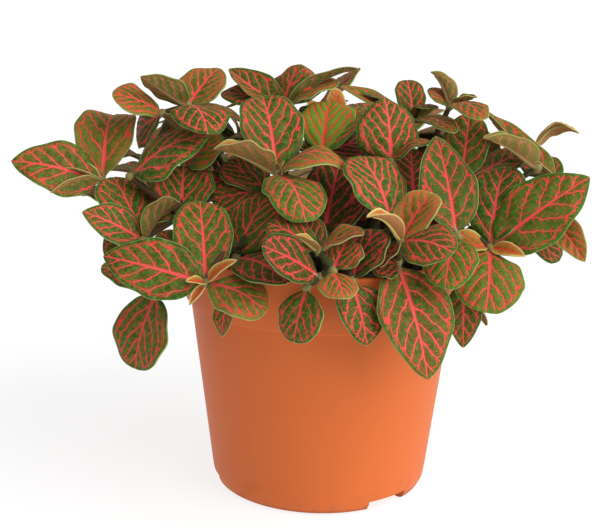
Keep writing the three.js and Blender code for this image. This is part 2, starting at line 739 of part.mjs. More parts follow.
// A leaf blade: two skins with the same triangles, joined by a rim.
function makeLeaf(leaf) {
  const frame = leafFrame(leaf);
  const broad = leaf.tip && leaf.wide >= BROAD_LEAF;
  const sides = broad ? BROAD_LEAF_COLUMNS : LEAF_COLUMNS;
  const rows = leafRows(leaf);
  const count = sides.length;
  const positions = [];
  const addPair = (share, side) => {
    const point = leafPoint(leaf, frame, share, side);
    const ahead = leafPoint(leaf, frame, Math.min(1, share + SLOPE_STEP), side);
    const behind = leafPoint(leaf, frame, Math.max(0, share - SLOPE_STEP), side);
    const right = leafPoint(leaf, frame, Math.min(share, 1 - SIDE_STEP), side + SIDE_STEP);
    const left = leafPoint(leaf, frame, Math.min(share, 1 - SIDE_STEP), side - SIDE_STEP);
    const normal = new THREE.Vector3().crossVectors(right.sub(left), ahead.sub(behind)).normalize();
    for (const offset of [BLADE_THICKNESS / 2, -BLADE_THICKNESS / 2]) {
      const place = point.clone().addScaledVector(normal, offset);
      positions.push(place.x, place.y, place.z);
    }
  };
  for (const share of rows) {
    for (const side of sides) {
      addPair(share, side);
    }
  }
  addPair(1, 0);
  const above = (row, column) => 2 * (row * count + column);
  const tip = 2 * rows.length * count;
  const triangles = [];
  const addFace = (a, b, c) => {
    triangles.push(a, b, c);
    triangles.push(c + 1, b + 1, a + 1);
  };
  const addRim = (a, b) => {
    triangles.push(a, a + 1, b + 1);
    triangles.push(a, b + 1, b);
  };
  for (let row = 0; row < rows.length - 1; row += 1) {
    for (let column = 0; column < count - 1; column += 1) {
      const corner = above(row, column);
      const beside = above(row, column + 1);
      const ahead = above(row + 1, column);
      const across = above(row + 1, column + 1);
      if (sides[column] < 0) {
        addFace(corner, beside, ahead);
        addFace(beside, across, ahead);
      } else {
        addFace(corner, across, ahead);
        addFace(corner, beside, across);
      }
    }
    addRim(above(row + 1, 0), above(row, 0));
    addRim(above(row, count - 1), above(row + 1, count - 1));
  }
  const last = rows.length - 1;
  for (let column = 0; column < count - 1; column += 1) {
    addFace(above(last, column), above(last, column + 1), tip);
    addRim(above(0, column), above(0, column + 1));
  }
  addRim(tip, above(last, 0));
  addRim(above(last, count - 1), tip);
  return new wasm.Manifold(new wasm.Mesh({
    numProp: 3,
    vertProperties: new Float32Array(positions),
    triVerts: new Uint32Array(triangles),
  }));
}

function polygon(radius, sides) {
  const points = [];
  for (let index = 0; index < sides; index += 1) {
    const angle = (2 * Math.PI * index) / sides;
    points.push(new THREE.Vector2(radius * Math.cos(angle), radius * Math.sin(angle)));
  }
  return new THREE.Shape(points);
}

// The tubes of a stem: a straight foot in its hole, and one leg for each joint.
function stemTubes(stem) {
  const footTop = SOIL_TOP + STEM_RISE;
  const footBottom = SOIL_TOP - HOLE_DEPTH + GAP;
  const foot = new THREE.CylinderGeometry(STEM_RADIUS, STEM_RADIUS, footTop - footBottom, STEM_SIDES);
  foot.rotateX(Math.PI / 2);
  foot.translate(stem.hole.x, stem.hole.y, (footTop + footBottom) / 2);
  const tubes = [toSolid(foot)];
  stem.legs.forEach((leg, index) => {
    const steps = stem.joints[index].from === undefined ? STEM_STEPS : BRANCH_STEPS;
    const outline = polygon(STEM_RADIUS, STEM_SIDES);
    tubes.push(toSolid(new THREE.ExtrudeGeometry(outline, { extrudePath: leg, steps })));
  });
  for (const joint of stem.joints) {
    const knob = new THREE.OctahedronGeometry(KNOB_RADIUS, 0);
    knob.translate(joint.point.x, joint.point.y, joint.point.z);
    tubes.push(toSolid(knob));
  }
  return tubes;
}

function makeStem(stem) {
  const pieces = [...stemTubes(stem), ...stem.settled.map(makeLeaf)];
  return mainBody(wasm.Manifold.union(pieces).asOriginal().simplify(FUSE_TOLERANCE));
}

function lathe(points, sides) {
  const geometry = new THREE.LatheGeometry(points.map(([r, z]) => new THREE.Vector2(r, z)), sides);
  geometry.rotateX(Math.PI / 2);
  return toSolid(geometry);
}

// The pot's hollow, or the soil's body when it is shrunk by a gap.
function innerProfile(gap, top) {
  const innerBodyFoot = CORNER_RADIUS - WALL - gap;
  const innerBodyTop = BODY_TOP_RADIUS - WALL - gap;
  const innerBandFoot = BAND_FOOT_RADIUS - WALL - gap;
  const innerRim = RIM_RADIUS - WALL - gap;
  const share = (Math.min(top, POT_HEIGHT) - BAND_FOOT_HEIGHT) / (POT_HEIGHT - BAND_FOOT_HEIGHT);
  return [
    [0, FLOOR_THICKNESS + gap],
    [innerBodyFoot - HOLLOW_CORNER_WIDTH, FLOOR_THICKNESS + gap],
    [innerBodyFoot, FLOOR_THICKNESS + HOLLOW_CORNER_HEIGHT + gap],
    [innerBodyTop, BODY_TOP_HEIGHT],
    [innerBandFoot, BAND_FOOT_HEIGHT],
    [innerBandFoot + (innerRim - innerBandFoot) * share, top],
  ];
}

function makePot() {
  const outer = lathe([
    [0, 0],
    [FOOT_RADIUS, 0],
    ...FOOT_ROUND.map(({ out, up }) => [FOOT_RADIUS + out, up]),
    [CORNER_RADIUS, CORNER_HEIGHT],
    [BODY_TOP_RADIUS, BODY_TOP_HEIGHT],
    [BAND_FOOT_RADIUS, BAND_FOOT_HEIGHT],
    [RIM_RADIUS, POT_HEIGHT - LIP_ROUND],
    [RIM_RADIUS - LIP_ROUND, POT_HEIGHT],
    [RIM_RADIUS - WALL + LIP_ROUND, POT_HEIGHT],
    [RIM_RADIUS - WALL, POT_HEIGHT - LIP_ROUND],
    [0, POT_HEIGHT - LIP_ROUND],
  ], POT_SIDES);
  const hollow = lathe([...innerProfile(0, POT_HEIGHT + 1), [0, POT_HEIGHT + 1]], POT_SIDES);
  let pot = outer.subtract(hollow);
  for (const heading of CHANNEL_HEADINGS) {
    const length = RIM_RADIUS - CHANNEL_INNER_END;
    const channel = new THREE.BoxGeometry(length, CHANNEL_WIDTH, 2 * CHANNEL_DEPTH);
    channel.translate(CHANNEL_INNER_END + length / 2, 0, 0);
    channel.rotateZ(degrees(heading));
    const drain = new THREE.CylinderGeometry(DRAIN_RADIUS, DRAIN_RADIUS, 3 * FLOOR_THICKNESS, DRAIN_SIDES);
    drain.rotateX(Math.PI / 2);
    drain.translate(DRAIN_DISTANCE, 0, 0);
    drain.rotateZ(degrees(heading));
    pot = pot.subtract(toSolid(channel)).subtract(toSolid(drain));
  }
  return pot;
}

function makeSoil(stems) {
  const profile = innerProfile(GAP, SOIL_TOP);
  const edge = profile[profile.length - 1][0];
  profile.push([edge * SOIL_SHOULDER.across, SOIL_TOP + SOIL_CROWN * SOIL_SHOULDER.up]);
  profile.push([0, SOIL_TOP + SOIL_CROWN]);
  const body = lathe(profile, POT_SIDES);
  const holes = stems.map((stem) => {
    const hole = new THREE.CylinderGeometry(HOLE_RADIUS, HOLE_RADIUS, 2 * HOLE_DEPTH, STEM_SIDES);
    hole.rotateX(Math.PI / 2);
    hole.translate(stem.hole.x, stem.hole.y, SOIL_TOP);
    return toSolid(hole);
  });
  return body.subtract(wasm.Manifold.union(holes));
}

function makeMesh(name, solid, color, roughness) {
  const material = new THREE.MeshStandardMaterial({ color, roughness, metalness: 0 });
  const mesh = new THREE.Mesh(toGeometry(solid), material);
  mesh.name = name;
  return mesh;
}

const stems = [...readFrontStems(), ...growBackStems()];
rootStems(stems);
settleLeaves(stems);

const plant = new THREE.Group();
plant.name = "potted_nerve_plant";
plant.add(makeMesh("pot", makePot(), POT_COLOR, POT_ROUGHNESS));
plant.add(makeMesh("soil", makeSoil(stems), SOIL_COLOR, SOIL_ROUGHNESS));
for (const stem of stems) {
  plant.add(makeMesh(`leafy_stem_${stem.name}`, makeStem(stem), LEAF_COLOR, LEAF_ROUGHNESS));
}

export default plant;
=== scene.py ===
import math

import bmesh
import bpy
import numpy as np
from mathutils import Matrix, Vector


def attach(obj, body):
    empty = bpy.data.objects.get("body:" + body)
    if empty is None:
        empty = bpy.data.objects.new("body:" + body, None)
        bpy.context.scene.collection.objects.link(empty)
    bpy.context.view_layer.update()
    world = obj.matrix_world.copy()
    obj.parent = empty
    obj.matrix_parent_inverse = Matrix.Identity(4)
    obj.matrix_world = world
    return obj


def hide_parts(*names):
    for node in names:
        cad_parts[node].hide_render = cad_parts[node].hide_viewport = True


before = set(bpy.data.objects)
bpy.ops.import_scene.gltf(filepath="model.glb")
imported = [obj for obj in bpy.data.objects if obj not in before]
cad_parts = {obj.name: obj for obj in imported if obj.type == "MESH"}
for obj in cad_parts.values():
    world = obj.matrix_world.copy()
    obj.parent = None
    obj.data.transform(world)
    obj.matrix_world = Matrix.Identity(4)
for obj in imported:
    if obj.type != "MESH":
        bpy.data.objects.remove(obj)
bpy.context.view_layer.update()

# A potted nerve plant. The layout is worked out in millimetres, as the solids are, and made in metres.
MM = 0.001
UP = np.array((0.0, 0.0, 1.0))

# Pot and soil
POT_HEIGHT = 103.5
RIM_RADIUS = 60
FOOT_RADIUS = 41.5
CORNER_RADIUS = 45
CORNER_HEIGHT = 7
BODY_TOP_RADIUS = 54
BODY_TOP_HEIGHT = 79.8
BAND_FOOT_RADIUS = 57
BAND_FOOT_HEIGHT = 83.2
WALL = 2.2
FLOOR_THICKNESS = 6.2
CHANNEL_WIDTH = 19
CHANNEL_DEPTH = 4.4
CHANNEL_INNER_END = 14
CHANNEL_HEADINGS = (-51, -171, 69)
DRAIN_RADIUS = 3.5
DRAIN_DISTANCE = 24
SOIL_TOP = 96.5
SOIL_CROWN = 1.5
GAP = 0.3

# Stems and leaves
STEM_RADIUS = 1.4
STEM_RISE = 2.5
STEM_LEAN_SHARE = 0.45
STEM_RISE_SHARE = 0.62
HIGH_JOINT = POT_HEIGHT + 20
RIM_PASS_HEIGHT = POT_HEIGHT + 12
RIM_PASS_ARCH = 8
ROOT_HALF_WIDTH = 0.9
STALK_SHARE = 0.07
ROUND_BLADE = {"scale": 2.068, "root_power": 0.55, "tip_power": 0.5}
POINTED_BLADE = {"scale": 2.378, "root_power": 0.5, "tip_power": 0.8}
ROOT_SAG = 0.8
TIP_SAG = 1.2
MIDRIB_FOLD = 0.4
CLEARANCE = 3.2
TIGHT_CLEARANCE = 2.6
POT_CLEARANCE = 2.2

# The photograph's view: picture points are (column, row, depth), where depth is the point's Y.
VIEW_TARGET = np.array((-9.2, 0.0, 92.0))
VIEW_DISTANCE = 600
VIEW_ELEVATION = math.radians(16.34)
VIEW_ROLL = math.radians(0.87)
VIEW_FOCAL = 1463
PICTURE_CENTRE = (300, 263.5)
PICTURE_WIDTH = 600
SENSOR_WIDTH = 36
VIEW_BACK = np.array((0.0, -math.cos(VIEW_ELEVATION), math.sin(VIEW_ELEVATION)))
VIEW_RIGHT = np.array((1.0, 0.0, 0.0))
VIEW_UP = np.cross(VIEW_RIGHT, -VIEW_BACK)
VIEW_EYE = VIEW_TARGET + VIEW_DISTANCE * VIEW_BACK

stems = []


def from_picture(column, row, depth):
    """The point in space where a picture point's line of sight reaches its depth."""
    cos, sin = math.cos(VIEW_ROLL), math.sin(VIEW_ROLL)
    across = (column - PICTURE_CENTRE[0]) / VIEW_FOCAL
    rise = (PICTURE_CENTRE[1] - row) / VIEW_FOCAL
    ray = -VIEW_BACK + VIEW_RIGHT * (across * cos - rise * sin)
    ray = ray + VIEW_UP * (across * sin + rise * cos)
    return VIEW_EYE + ray * ((depth - VIEW_EYE[1]) / ray[1])


def joint(column, row, depth, start=None):
    """A joint of a stem at a picture point, and the earlier joint that its branch leaves."""
    return from_picture(column, row, depth), start


def leaf(at, tip, wide, arch, roll=0, fold=0, pointed=False, young=0.0, tone=0.0):
    """A leaf from one joint to its tip: its width, the rise of its midrib, its roll and its fold.

    It is round unless pointed, and orange when young; on a few leaves seen at a grazing angle the young
    tint also paints the pinkish sheen of their hairs. Its tone runs from -1, fresh, to 1, dark: partly
    the leaf's own darker green, and partly painted shade on leaves that lie in shadow.
    """
    return {
        "at": at, "tip": tip, "wide": wide, "arch": arch, "roll": roll, "fold": fold,
        "pointed": pointed, "young": young, "tone": tone,
    }


def pointed(*form, **tints):
    """A leaf with a pointed tip."""
    return leaf(*form, pointed=True, **tints)


def add_stem(name, joints, *leaves):
    """Adds a stem with its joints, and with its leaves rooted at them."""
    rooted = [{**one, "root": joints[one["at"]][0]} for one in leaves]
    stems.append({"name": name, "joints": joints, "leaves": rooted})


add_stem(
    "centre_crown", [joint(268, 190, -14), joint(277, 173, -22)],
    leaf(1, (262, 96, 2), 26, 0.1, 0, 10, tone=0.1),
    pointed(1, (214, 149, -26), 19, 0.06, -10, 45, young=0.35),
    # Its young tint partly paints the pinkish sheen this leaf shows at a grazing angle.
    pointed(1, (351, 172, -30), 21, 0.3, 10, -10, young=0.2, tone=0.1),
    leaf(1, (306, 222, -56), 24, 0.14, 0, -8),
    leaf(0, (227, 161, -2), 20, 0.05, 20, 5, tone=0.4),
    leaf(0, (212, 200, -16), 19, 0.06, 40, tone=0.2),
    leaf(0, (205, 178, 6), 19, 0.06, 40, tone=0.6),
    pointed(1, (271, 160, -26), 4, 0.05, 0, 30, young=0.15, tone=-1),
    pointed(1, (284, 161, -20), 4, 0.05, 0, 30, young=0.15, tone=-1),
)
add_stem(
    "left_front", [joint(206, 283, -58), joint(228, 298, -60, start=0), joint(236, 258, -42)],
    leaf(0, (200, 201, -32), 23, 0.06, 0, 8),
    pointed(0, (103, 256, -52), 23, 0.08, 60),
    leaf(0, (266, 313, -68), 21, 0.18, 30, -10, young=0.15, tone=-0.1),
    pointed(0, (186, 281, -64), 5, 0.05, 30, 25, young=0.9, tone=-0.3),
    pointed(0, (237, 260, -62), 6, 0.08, 40, 20, young=0.85),
    pointed(0, (189, 305, -62), 4, 0.05, 30, 30, young=0.8),
    pointed(1, (222, 337, -63), 9, 0.06, 0, 12, young=0.05),
    leaf(2, (268, 196, -28), 26, 0.08, tone=-0.1),
    leaf(2, (288, 283, -56), 20, 0.1, 20, tone=0.6),
    leaf(0, (160, 232, -30), 19, 0.06, 20),
)
add_stem(
    "left_inner", [
        joint(181, 215, -24), joint(143, 240, -28, start=0), joint(130, 177, -14, start=0),
        joint(184, 166, -4, start=0),
    ],
    leaf(0, (184, 166, -2), 25, 0.06, 0, 6),
    leaf(0, (152, 206, -16), 16, 0.06, 30, tone=0.5),
    pointed(1, (82, 212, -34), 17, 0.08, 50, 6),
    leaf(1, (113, 177, -8), 25, 0.06, 0, 6),
    leaf(1, (178, 201, -28), 13, 0.1, -50, 20, tone=-0.3),
    pointed(2, (209, 136, -12), 26, 0.14, 25, -8),
    leaf(3, (224, 141, 4), 18, 0.1, 40, tone=-0.5),
    leaf(3, (223, 188, 4), 18, 0.06, 40),
)
add_stem(
    "top_left", [joint(188, 106, 4), joint(162, 113, 2, start=0)],
    pointed(0, (219, 68, 22), 21, 0.06, 10, 10, young=0.15),
    pointed(0, (141, 76, -4), 16, 0, -40, 20),
    leaf(0, (208, 134, -26), 23, 0.15, 0, -8),
    # Its young tint partly paints the pinkish sheen this leaf shows at a grazing angle.
    leaf(1, (112, 95, -4), 19, 0.1, 28, young=0.2),
    leaf(1, (136, 135, 8), 20, 0.06, 65, tone=0.2),
    leaf(1, (182, 129, -12), 12, 0.06, -40, tone=-0.6),
)
add_stem(
    "top_centre", [joint(283, 107, 14), joint(245, 122, 10, start=0)],
    leaf(0, (301, 64, 22), 24, 0.1, 0, -14, young=0.1, tone=0.1),
    pointed(0, (229, 69, 10), 17, -0.03, 30, 30),
    pointed(0, (358, 68, 8), 10, 0.08, -30, 20),
    leaf(0, (221, 93, 20), 13, 0.08, 30),
    leaf(1, (201, 104, 0), 15, 0.12, -5, -6),
    leaf(0, (318, 88, 30), 18, 0.1, tone=0.3),
    leaf(0, (339, 82, 12), 18, 0.1, 10, young=0.1, tone=-0.2),
)
add_stem(
    "top_right_middle", [joint(414, 120, 16)],
    pointed(0, (361, 93, 22), 10, 0.1, -5),
    leaf(0, (434, 108, 6), 13, 0.26, -5, -10),
    leaf(0, (460, 123, 0), 18, 0.1, 0, -6),
    leaf(0, (455, 133, -8), 10, 0.1, 10),
    leaf(0, (407, 80, 30), 13, 0.08, 0, 10),
    leaf(0, (341, 86, 26), 12, 0.02, 10, 10, young=0.05, tone=-0.4),
)
add_stem(
    "left_hanging", [joint(156, 290, -34)],
    leaf(0, (135, 369, -42), 31, 0.06, 0, 6),
    leaf(0, (101, 267, -38), 12, 0.08, 40),
)
add_stem(
    "far_left", [joint(103, 181, -8)],
    pointed(0, (11, 161, -16), 23, 0.1, 55, young=0.05, tone=0.1),
    leaf(0, (114, 115, 18), 25, 0.16, 0, 12, young=0.12, tone=-0.2),
    pointed(0, (56, 167, -20), 9, 0.04, 20, 50, young=0.35, tone=-0.3),
    pointed(0, (50, 193, -22), 8, 0.06, -40, 20, young=0.3, tone=-0.6),
)
add_stem(
    "centre_back", [joint(322, 153, -8)],
    leaf(0, (331, 102, 14), 23, 0.12, 0, 4, tone=-1),
    leaf(0, (364, 108, 4), 18, 0.06, 10, 10, tone=-0.3),
    leaf(0, (364, 142, 2), 18, 0.06, 30, tone=0.9),
)
add_stem(
    "centre_shade", [joint(324, 236, -34)],
    leaf(0, (341, 160, -14), 23, 0.06, 0, 6, tone=0.8),
    leaf(0, (364, 186, -24), 19, 0.06, 10, tone=0.9),
    leaf(0, (285, 212, -26), 19, 0.06, 20, tone=0.8),
)
add_stem(
    "front_centre", [
        joint(319, 251, -60), joint(333, 271, -66, start=0), joint(320, 277, -64, start=1),
        joint(307, 287, -66, start=2),
    ],
    leaf(0, (303, 217, -52), 12, 0.06, 10, 6, tone=0.6),
    leaf(0, (364, 233, -62), 14, 0.12, 10, 10, young=0.15, tone=0.1),
    leaf(0, (268, 223, -52), 14, 0.08, 30, tone=0.3),
    pointed(0, (296, 235, -66), 6, 0.02, 10, 50, young=0.6, tone=-1),
    leaf(2, (262, 246, -62), 17, 0.06, 60, tone=0.7),
    leaf(1, (349, 239, -58), 18, 0.08, 10, young=0.05, tone=0.4),
    leaf(1, (344, 299, -80), 15, 0.1, 0, -10, young=0.2, tone=0.1),
    leaf(3, (294, 343, -72), 20, 0.06, 0, -6, tone=0.1),
)
add_stem(
    "front_right_hanging", [joint(352, 281, -62)],
    pointed(0, (367, 346, -68), 20, 0.05, 0, 6, tone=0.3),
    leaf(0, (381, 230, -48), 20, 0.06, tone=0.8),
)
add_stem(
    "right_front", [joint(401, 241, -56), joint(398, 262, -52, start=0)],
    leaf(0, (433, 193, -46), 18, 0.08, 10, 10, young=0.4),
    pointed(0, (367, 217, -60), 9, 0.05, 10, 55, young=0.9),
    leaf(0, (454, 253, -72), 20, 0.14, 35, -6, young=0.05, tone=0.1),
    pointed(1, (428, 380, -66), 31, 0.05, 0, 6, young=0.06, tone=0.05),
    pointed(0, (380, 267, -68), 10, 0.08, 0, 20, young=0.1, tone=0.8),
    leaf(1, (370, 268, -62), 15, 0.08, 30, tone=0.7),
)
add_stem(
    "right_centre", [joint(391, 220, -42)],
    leaf(0, (358, 156, -22), 27, 0.12, 0, 4),
)
add_stem(
    "right_crown", [joint(391, 163, -16)],
    pointed(0, (384, 97, 10), 27, 0.1, 0, -8),
    leaf(0, (432, 141, -14), 13, 0.2, 0, -6),
)
add_stem(
    "right_shade", [joint(414, 197, -24)],
    leaf(0, (411, 149, -6), 18, 0.06, tone=0.8),
)
add_stem(
    "right_upright", [joint(457, 236, -42)],
    pointed(0, (436, 136, -20), 24, 0.05, 0, 6, tone=0.4),
    leaf(0, (445, 289, -66), 21, 0.15, 0, -6, tone=-0.3),
)
add_stem(
    "far_right", [joint(490, 248, -34)],
    pointed(0, (590, 177, -34), 27, 0.07, 60, tone=-0.2),
    leaf(0, (505, 167, -8), 24, 0.14, 0, 6),
    leaf(0, (486, 313, -62), 28, 0.13, 8, -6, young=0.05, tone=-0.2),
    leaf(0, (447, 245, -40), 12, 0.08, 30, 25, young=0.7),
    pointed(0, (525, 256, -44), 7, 0.08, 40, 20, young=0.95, tone=-0.3),
)
add_stem(
    "right_low", [joint(463, 281, -40)],
    pointed(0, (463, 348, -46), 14, 0.05, 0, 6, tone=0.1),
    leaf(0, (486, 325, -38), 12, 0.05),
)
add_stem(
    "right_upper", [joint(461, 182, -18)],
    leaf(0, (470, 114, 4), 19, 0.06, 0, 6),
    leaf(0, (522, 150, -4), 15, 0.06, 20),
)
add_stem(
    "right_shoulder", [joint(560, 182, -14), joint(549, 216, -14, start=0)],
    pointed(0, (484, 110, -4), 16, -0.04, 10, 40, young=0.12),
    pointed(1, (587, 246, -16), 8, 0.1, 30, 10, young=0.4),
    pointed(1, (585, 262, -34), 13, 0.1, 30, 10, young=0.3),
    leaf(0, (525, 158, 8), 15, 0.06, 20),
)
add_stem(
    "right_folded", [joint(537, 168, -20)],
    pointed(0, (484, 138, -26), 14, 0.05, 0, 50, young=0.2),
)
add_stem(
    "right_arching", [joint(533, 147, 6)],
    pointed(0, (580, 133, 4), 15, 0.32, -30, -10, young=0.6),
)
add_stem(
    "top_right", [joint(450, 106, 6)],
    pointed(0, (431, 72, 4), 9, 0.12, -20, 60, young=0.1, tone=-0.3),
    pointed(0, (477, 97, 2), 8, 0.05, 0, 35, young=0.15, tone=-0.3),
    leaf(0, (483, 120, -6), 14, 0.16, 5, -6, young=0.15),
    leaf(0, (428, 89, 20), 10, 0.08, 20),
)

# Stems behind, which the photograph doesn't show: (heading, distance from the axis, height).
BACK_CROWNS = (
    (8, 70, 112), (30, 81, 118), (58, 80, 107), (88, 80, 115), (118, 81, 107), (148, 82, 117),
    (172, 68, 112), (50, 46, 136), (95, 44, 139), (138, 47, 135), (14, 46, 132), (166, 46, 136),
    (75, 16, 148), (0, 8, 132),
)
# Their leaves: (turn, pitch, size) of each leaf round a crown, and how much leaves differ.
BACK_LEAVES = (
    (0, 4, 1), (180, 42, 0.9), (92, 20, 1), (-88, 20, 1), (40, -28, 0.95), (-45, -28, 0.95),
    (20, 68, 0.4),
)
BACK_SEED = 20417
BACK_LENGTH = 36
BACK_RATIO = 0.64
BACK_LENGTHS = (0.9, 1.12)
BACK_TURNS = (-14, 14)
BACK_PITCHES = (-8, 8)
BACK_WIDTHS = (0.92, 1.08)
BACK_ARCHES = (0.08, 0.17)
BACK_ROLLS = (-14, 14)
BACK_FOLDS = (-8, 12)
BACK_YOUNG = 0.7
BACK_YOUNG_SIZE = 0.5
# Back leaves get a darker tone: painted shade, as they lie in the shadow of the leaves in front.
BACK_SHADE_TONE = 0.2

# Where the holes of the stems may lie, and what a leaf may change to stay clear.
HOLE_NEAREST = 10
HOLE_REACH_SHARE = 0.42
HOLE_FARTHEST = 47
HOLE_TURNS = (0, 9, -9, 18, -18, 27, -27, 38, -38)
HOLE_SCALES = (1, 0.8, 1.15, 0.6)
STEM_GAP_MEASURED = 9
STEM_GAP_ENOUGH = 4.6
STEM_SAMPLES = 16
TIP_DEPTH_SHIFTS = (0, -4, 4, -8, 8, -12, 12, -17, 17)
ARCH_SHIFTS = (0, 0.07, -0.07)
HEADING_SHIFTS = (0, 14, -14, 28, -28)
PITCH_SHIFTS = (0, 14, -14, 28)
SIZE_SHIFTS = (1, 0.8, 0.62)
SAMPLE_ROWS = 12
SAMPLE_COLUMNS = 4
SAMPLE_START = 0.04


def make_random(seed):
    """The same even random numbers on every run."""
    state = seed

    def draw(low, high):
        nonlocal state
        state = (state * 16807) % 2147483647
        return low + (high - low) * state / 2147483647

    return draw


def unit(vector):
    return vector / np.linalg.norm(vector)


def distance_to_pot(points):
    """Distance from points to the filled pot."""
    radius = np.hypot(points[:, 0], points[:, 1])
    height = points[:, 2]
    band = (height - BAND_FOOT_HEIGHT) / (POT_HEIGHT - BAND_FOOT_HEIGHT)
    body = (height - CORNER_HEIGHT) / (BODY_TOP_HEIGHT - CORNER_HEIGHT)
    band_radius = BAND_FOOT_RADIUS + (RIM_RADIUS - BAND_FOOT_RADIUS) * band
    body_radius = CORNER_RADIUS + (BODY_TOP_RADIUS - CORNER_RADIUS) * body
    body_radius = np.minimum(BAND_FOOT_RADIUS, body_radius)
    wall = radius - np.where(height > BAND_FOOT_HEIGHT, band_radius, body_radius)
    above = np.hypot(height - POT_HEIGHT, np.maximum(0, radius - RIM_RADIUS))
    return np.where(height > POT_HEIGHT, above, wall)


def leaf_frame(blade):
    """A leaf's length, the direction of its chord, of its upper side and across it."""
    chord = blade["end"] - blade["root"]
    length = np.linalg.norm(chord)
    along = chord / length
    level = unit(np.cross(along, UP))
    top = np.cross(level, along)
    side = -1 if level @ VIEW_BACK < 0 else 1
    roll = math.radians(blade["roll"])
    face = top * math.cos(roll) + level * side * math.sin(roll)
    return length, along, face, np.cross(along, face)


def half_width(blade, share):
    """Half the width of a leaf at shares of its length: a short stalk, then an oval blade."""
    form = POINTED_BLADE if blade["pointed"] else ROUND_BLADE
    part = np.clip((share - STALK_SHARE) / (1 - STALK_SHARE), 0, 1)
    oval = form["scale"] * part ** form["root_power"] * (1 - part) ** form["tip_power"]
    wide = np.maximum(blade["wide"] / 2 * oval, ROOT_HALF_WIDTH * (1 - part))
    return np.where(share <= STALK_SHARE, ROOT_HALF_WIDTH, wide)


def midrib_rise(blade, length, share):
    """How far the midrib rises over its chord, and its slope: a cubic curve."""
    sag = length * blade["arch"] * 4 / 3
    rest = 1 - share
    lift = 3 * sag * (rest * rest * share * ROOT_SAG + rest * share * share * TIP_SAG)
    rate = rest * (rest - 2 * share) * ROOT_SAG + share * (2 * rest - share) * TIP_SAG
    return lift, np.arctan2(3 * sag * rate, length)


def leaf_points(blade, share, side):
    """Points of a leaf's middle surface: share runs from root to tip, side from -1 to 1."""
    length, along, face, across = leaf_frame(blade)
    lift, slope = midrib_rise(blade, length, share)
    half = half_width(blade, share)
    bend = math.radians(blade["fold"]) * (MIDRIB_FOLD + (1 - MIDRIB_FOLD) * np.abs(side))
    out = half * side * np.cos(bend)
    rise = half * np.abs(side) * np.sin(bend)
    forward = length * share - rise * np.sin(slope)
    upward = lift + rise * np.cos(slope)
    return (
        blade["root"] + forward[:, None] * along + upward[:, None] * face + out[:, None] * across
    )


SAMPLE_SHARES = np.repeat(
    SAMPLE_START + (1 - SAMPLE_START) * np.arange(SAMPLE_ROWS + 1) / SAMPLE_ROWS,
    2 * SAMPLE_COLUMNS + 1,
)
SAMPLE_SIDES = np.tile(
    np.arange(-SAMPLE_COLUMNS, SAMPLE_COLUMNS + 1) / SAMPLE_COLUMNS, SAMPLE_ROWS + 1
)
STEM_SHARES = np.linspace(0, 1, STEM_SAMPLES + 1)[:, None]


def make_cloud(points):
    """Points, and the ball round them that tells quickly which clouds may lie close."""
    centre = (points.min(axis=0) + points.max(axis=0)) / 2
    return {"points": points, "centre": centre, "radius": np.linalg.norm(points - centre, axis=1).max()}


def smallest_distance(cloud, other, limit):
    """The smallest distance between two clouds of points, or the limit if that is less."""
    reach = cloud["radius"] + other["radius"] + limit
    if np.linalg.norm(cloud["centre"] - other["centre"]) >= reach:
        return limit
    square = 0
    for axis in range(3):
        gap = cloud["points"][:, None, axis] - other["points"][None, :, axis]
        square = square + gap * gap
    return min(limit, math.sqrt(square.min()))


def stem_leg(start, end, from_soil):
    """The three points of the curve that a stem follows to a joint."""
    middle = start + (end - start) * 0.5
    if from_soil:
        middle[:2] = start[:2] + (end[:2] - start[:2]) * STEM_LEAN_SHARE
        middle[2] = max(end[2], RIM_PASS_HEIGHT) + RIM_PASS_ARCH
        if end[2] > HIGH_JOINT:
            middle[2] = start[2] + (end[2] - start[2]) * STEM_RISE_SHARE
    return start, middle, end


def on_leg(leg, share):
    """Where a leg's curve is at shares of its way."""
    start, middle, end = leg
    return (1 - share) ** 2 * start + 2 * (1 - share) * share * middle + share**2 * end


def legs_of(stem, hole):
    """The legs of a stem: from its hole to its first joint, and from joint to joint."""
    foot = np.array((*hole, SOIL_TOP + STEM_RISE))
    legs = []
    for point, start in stem["joints"]:
        from_soil = start is None
        legs.append(stem_leg(foot if from_soil else stem["joints"][start][0], point, from_soil))
    return legs


def hole_choices(stem):
    """The holes that a stem may stand in, the wanted one first."""
    x, y, _ = stem["joints"][0][0]
    for scale in HOLE_SCALES:
        reach = (HOLE_NEAREST + HOLE_REACH_SHARE * math.hypot(x, y)) * scale
        radius = min(HOLE_FARTHEST, reach)
        for turn in HOLE_TURNS:
            angle = math.atan2(y, x) + math.radians(turn)
            yield radius * math.cos(angle), radius * math.sin(angle)


def root_stems():
    """Finds each stem a hole in the soil from which it reaches its joints clear of the others."""
    for index, stem in enumerate(stems):
        choice = None
        for hole in hole_choices(stem):
            legs = legs_of(stem, hole)
            cloud = make_cloud(np.concatenate([on_leg(leg, STEM_SHARES) for leg in legs]))
            near = STEM_GAP_MEASURED
            for other in stems[:index]:
                near = smallest_distance(cloud, other["cloud"], near)
            if not choice or (near > choice["near"] and choice["near"] < STEM_GAP_ENOUGH):
                choice = {"legs": legs, "cloud": cloud, "near": near}
        stem.update(choice)


def leaf_choices(blade):
    """The forms that a leaf may take, the wanted one first."""
    if "tip" in blade:
        column, row, depth = blade["tip"]
        for arch in ARCH_SHIFTS:
            for shift in TIP_DEPTH_SHIFTS:
                end = from_picture(column, row, depth + shift)
                yield {**blade, "end": end, "arch": blade["arch"] + arch}
        return
    for size in SIZE_SHIFTS:
        for heading_shift in HEADING_SHIFTS:
            for pitch_shift in PITCH_SHIFTS:
                heading = math.radians(blade["heading"] + heading_shift)
                pitch = math.radians(blade["pitch"] + pitch_shift)
                step = np.array((math.cos(heading), math.sin(heading), 0)) * math.cos(pitch)
                step = step + UP * math.sin(pitch)
                end = blade["root"] + step * blade["length"] * size
                yield {**blade, "end": end, "wide": blade["wide"] * size}


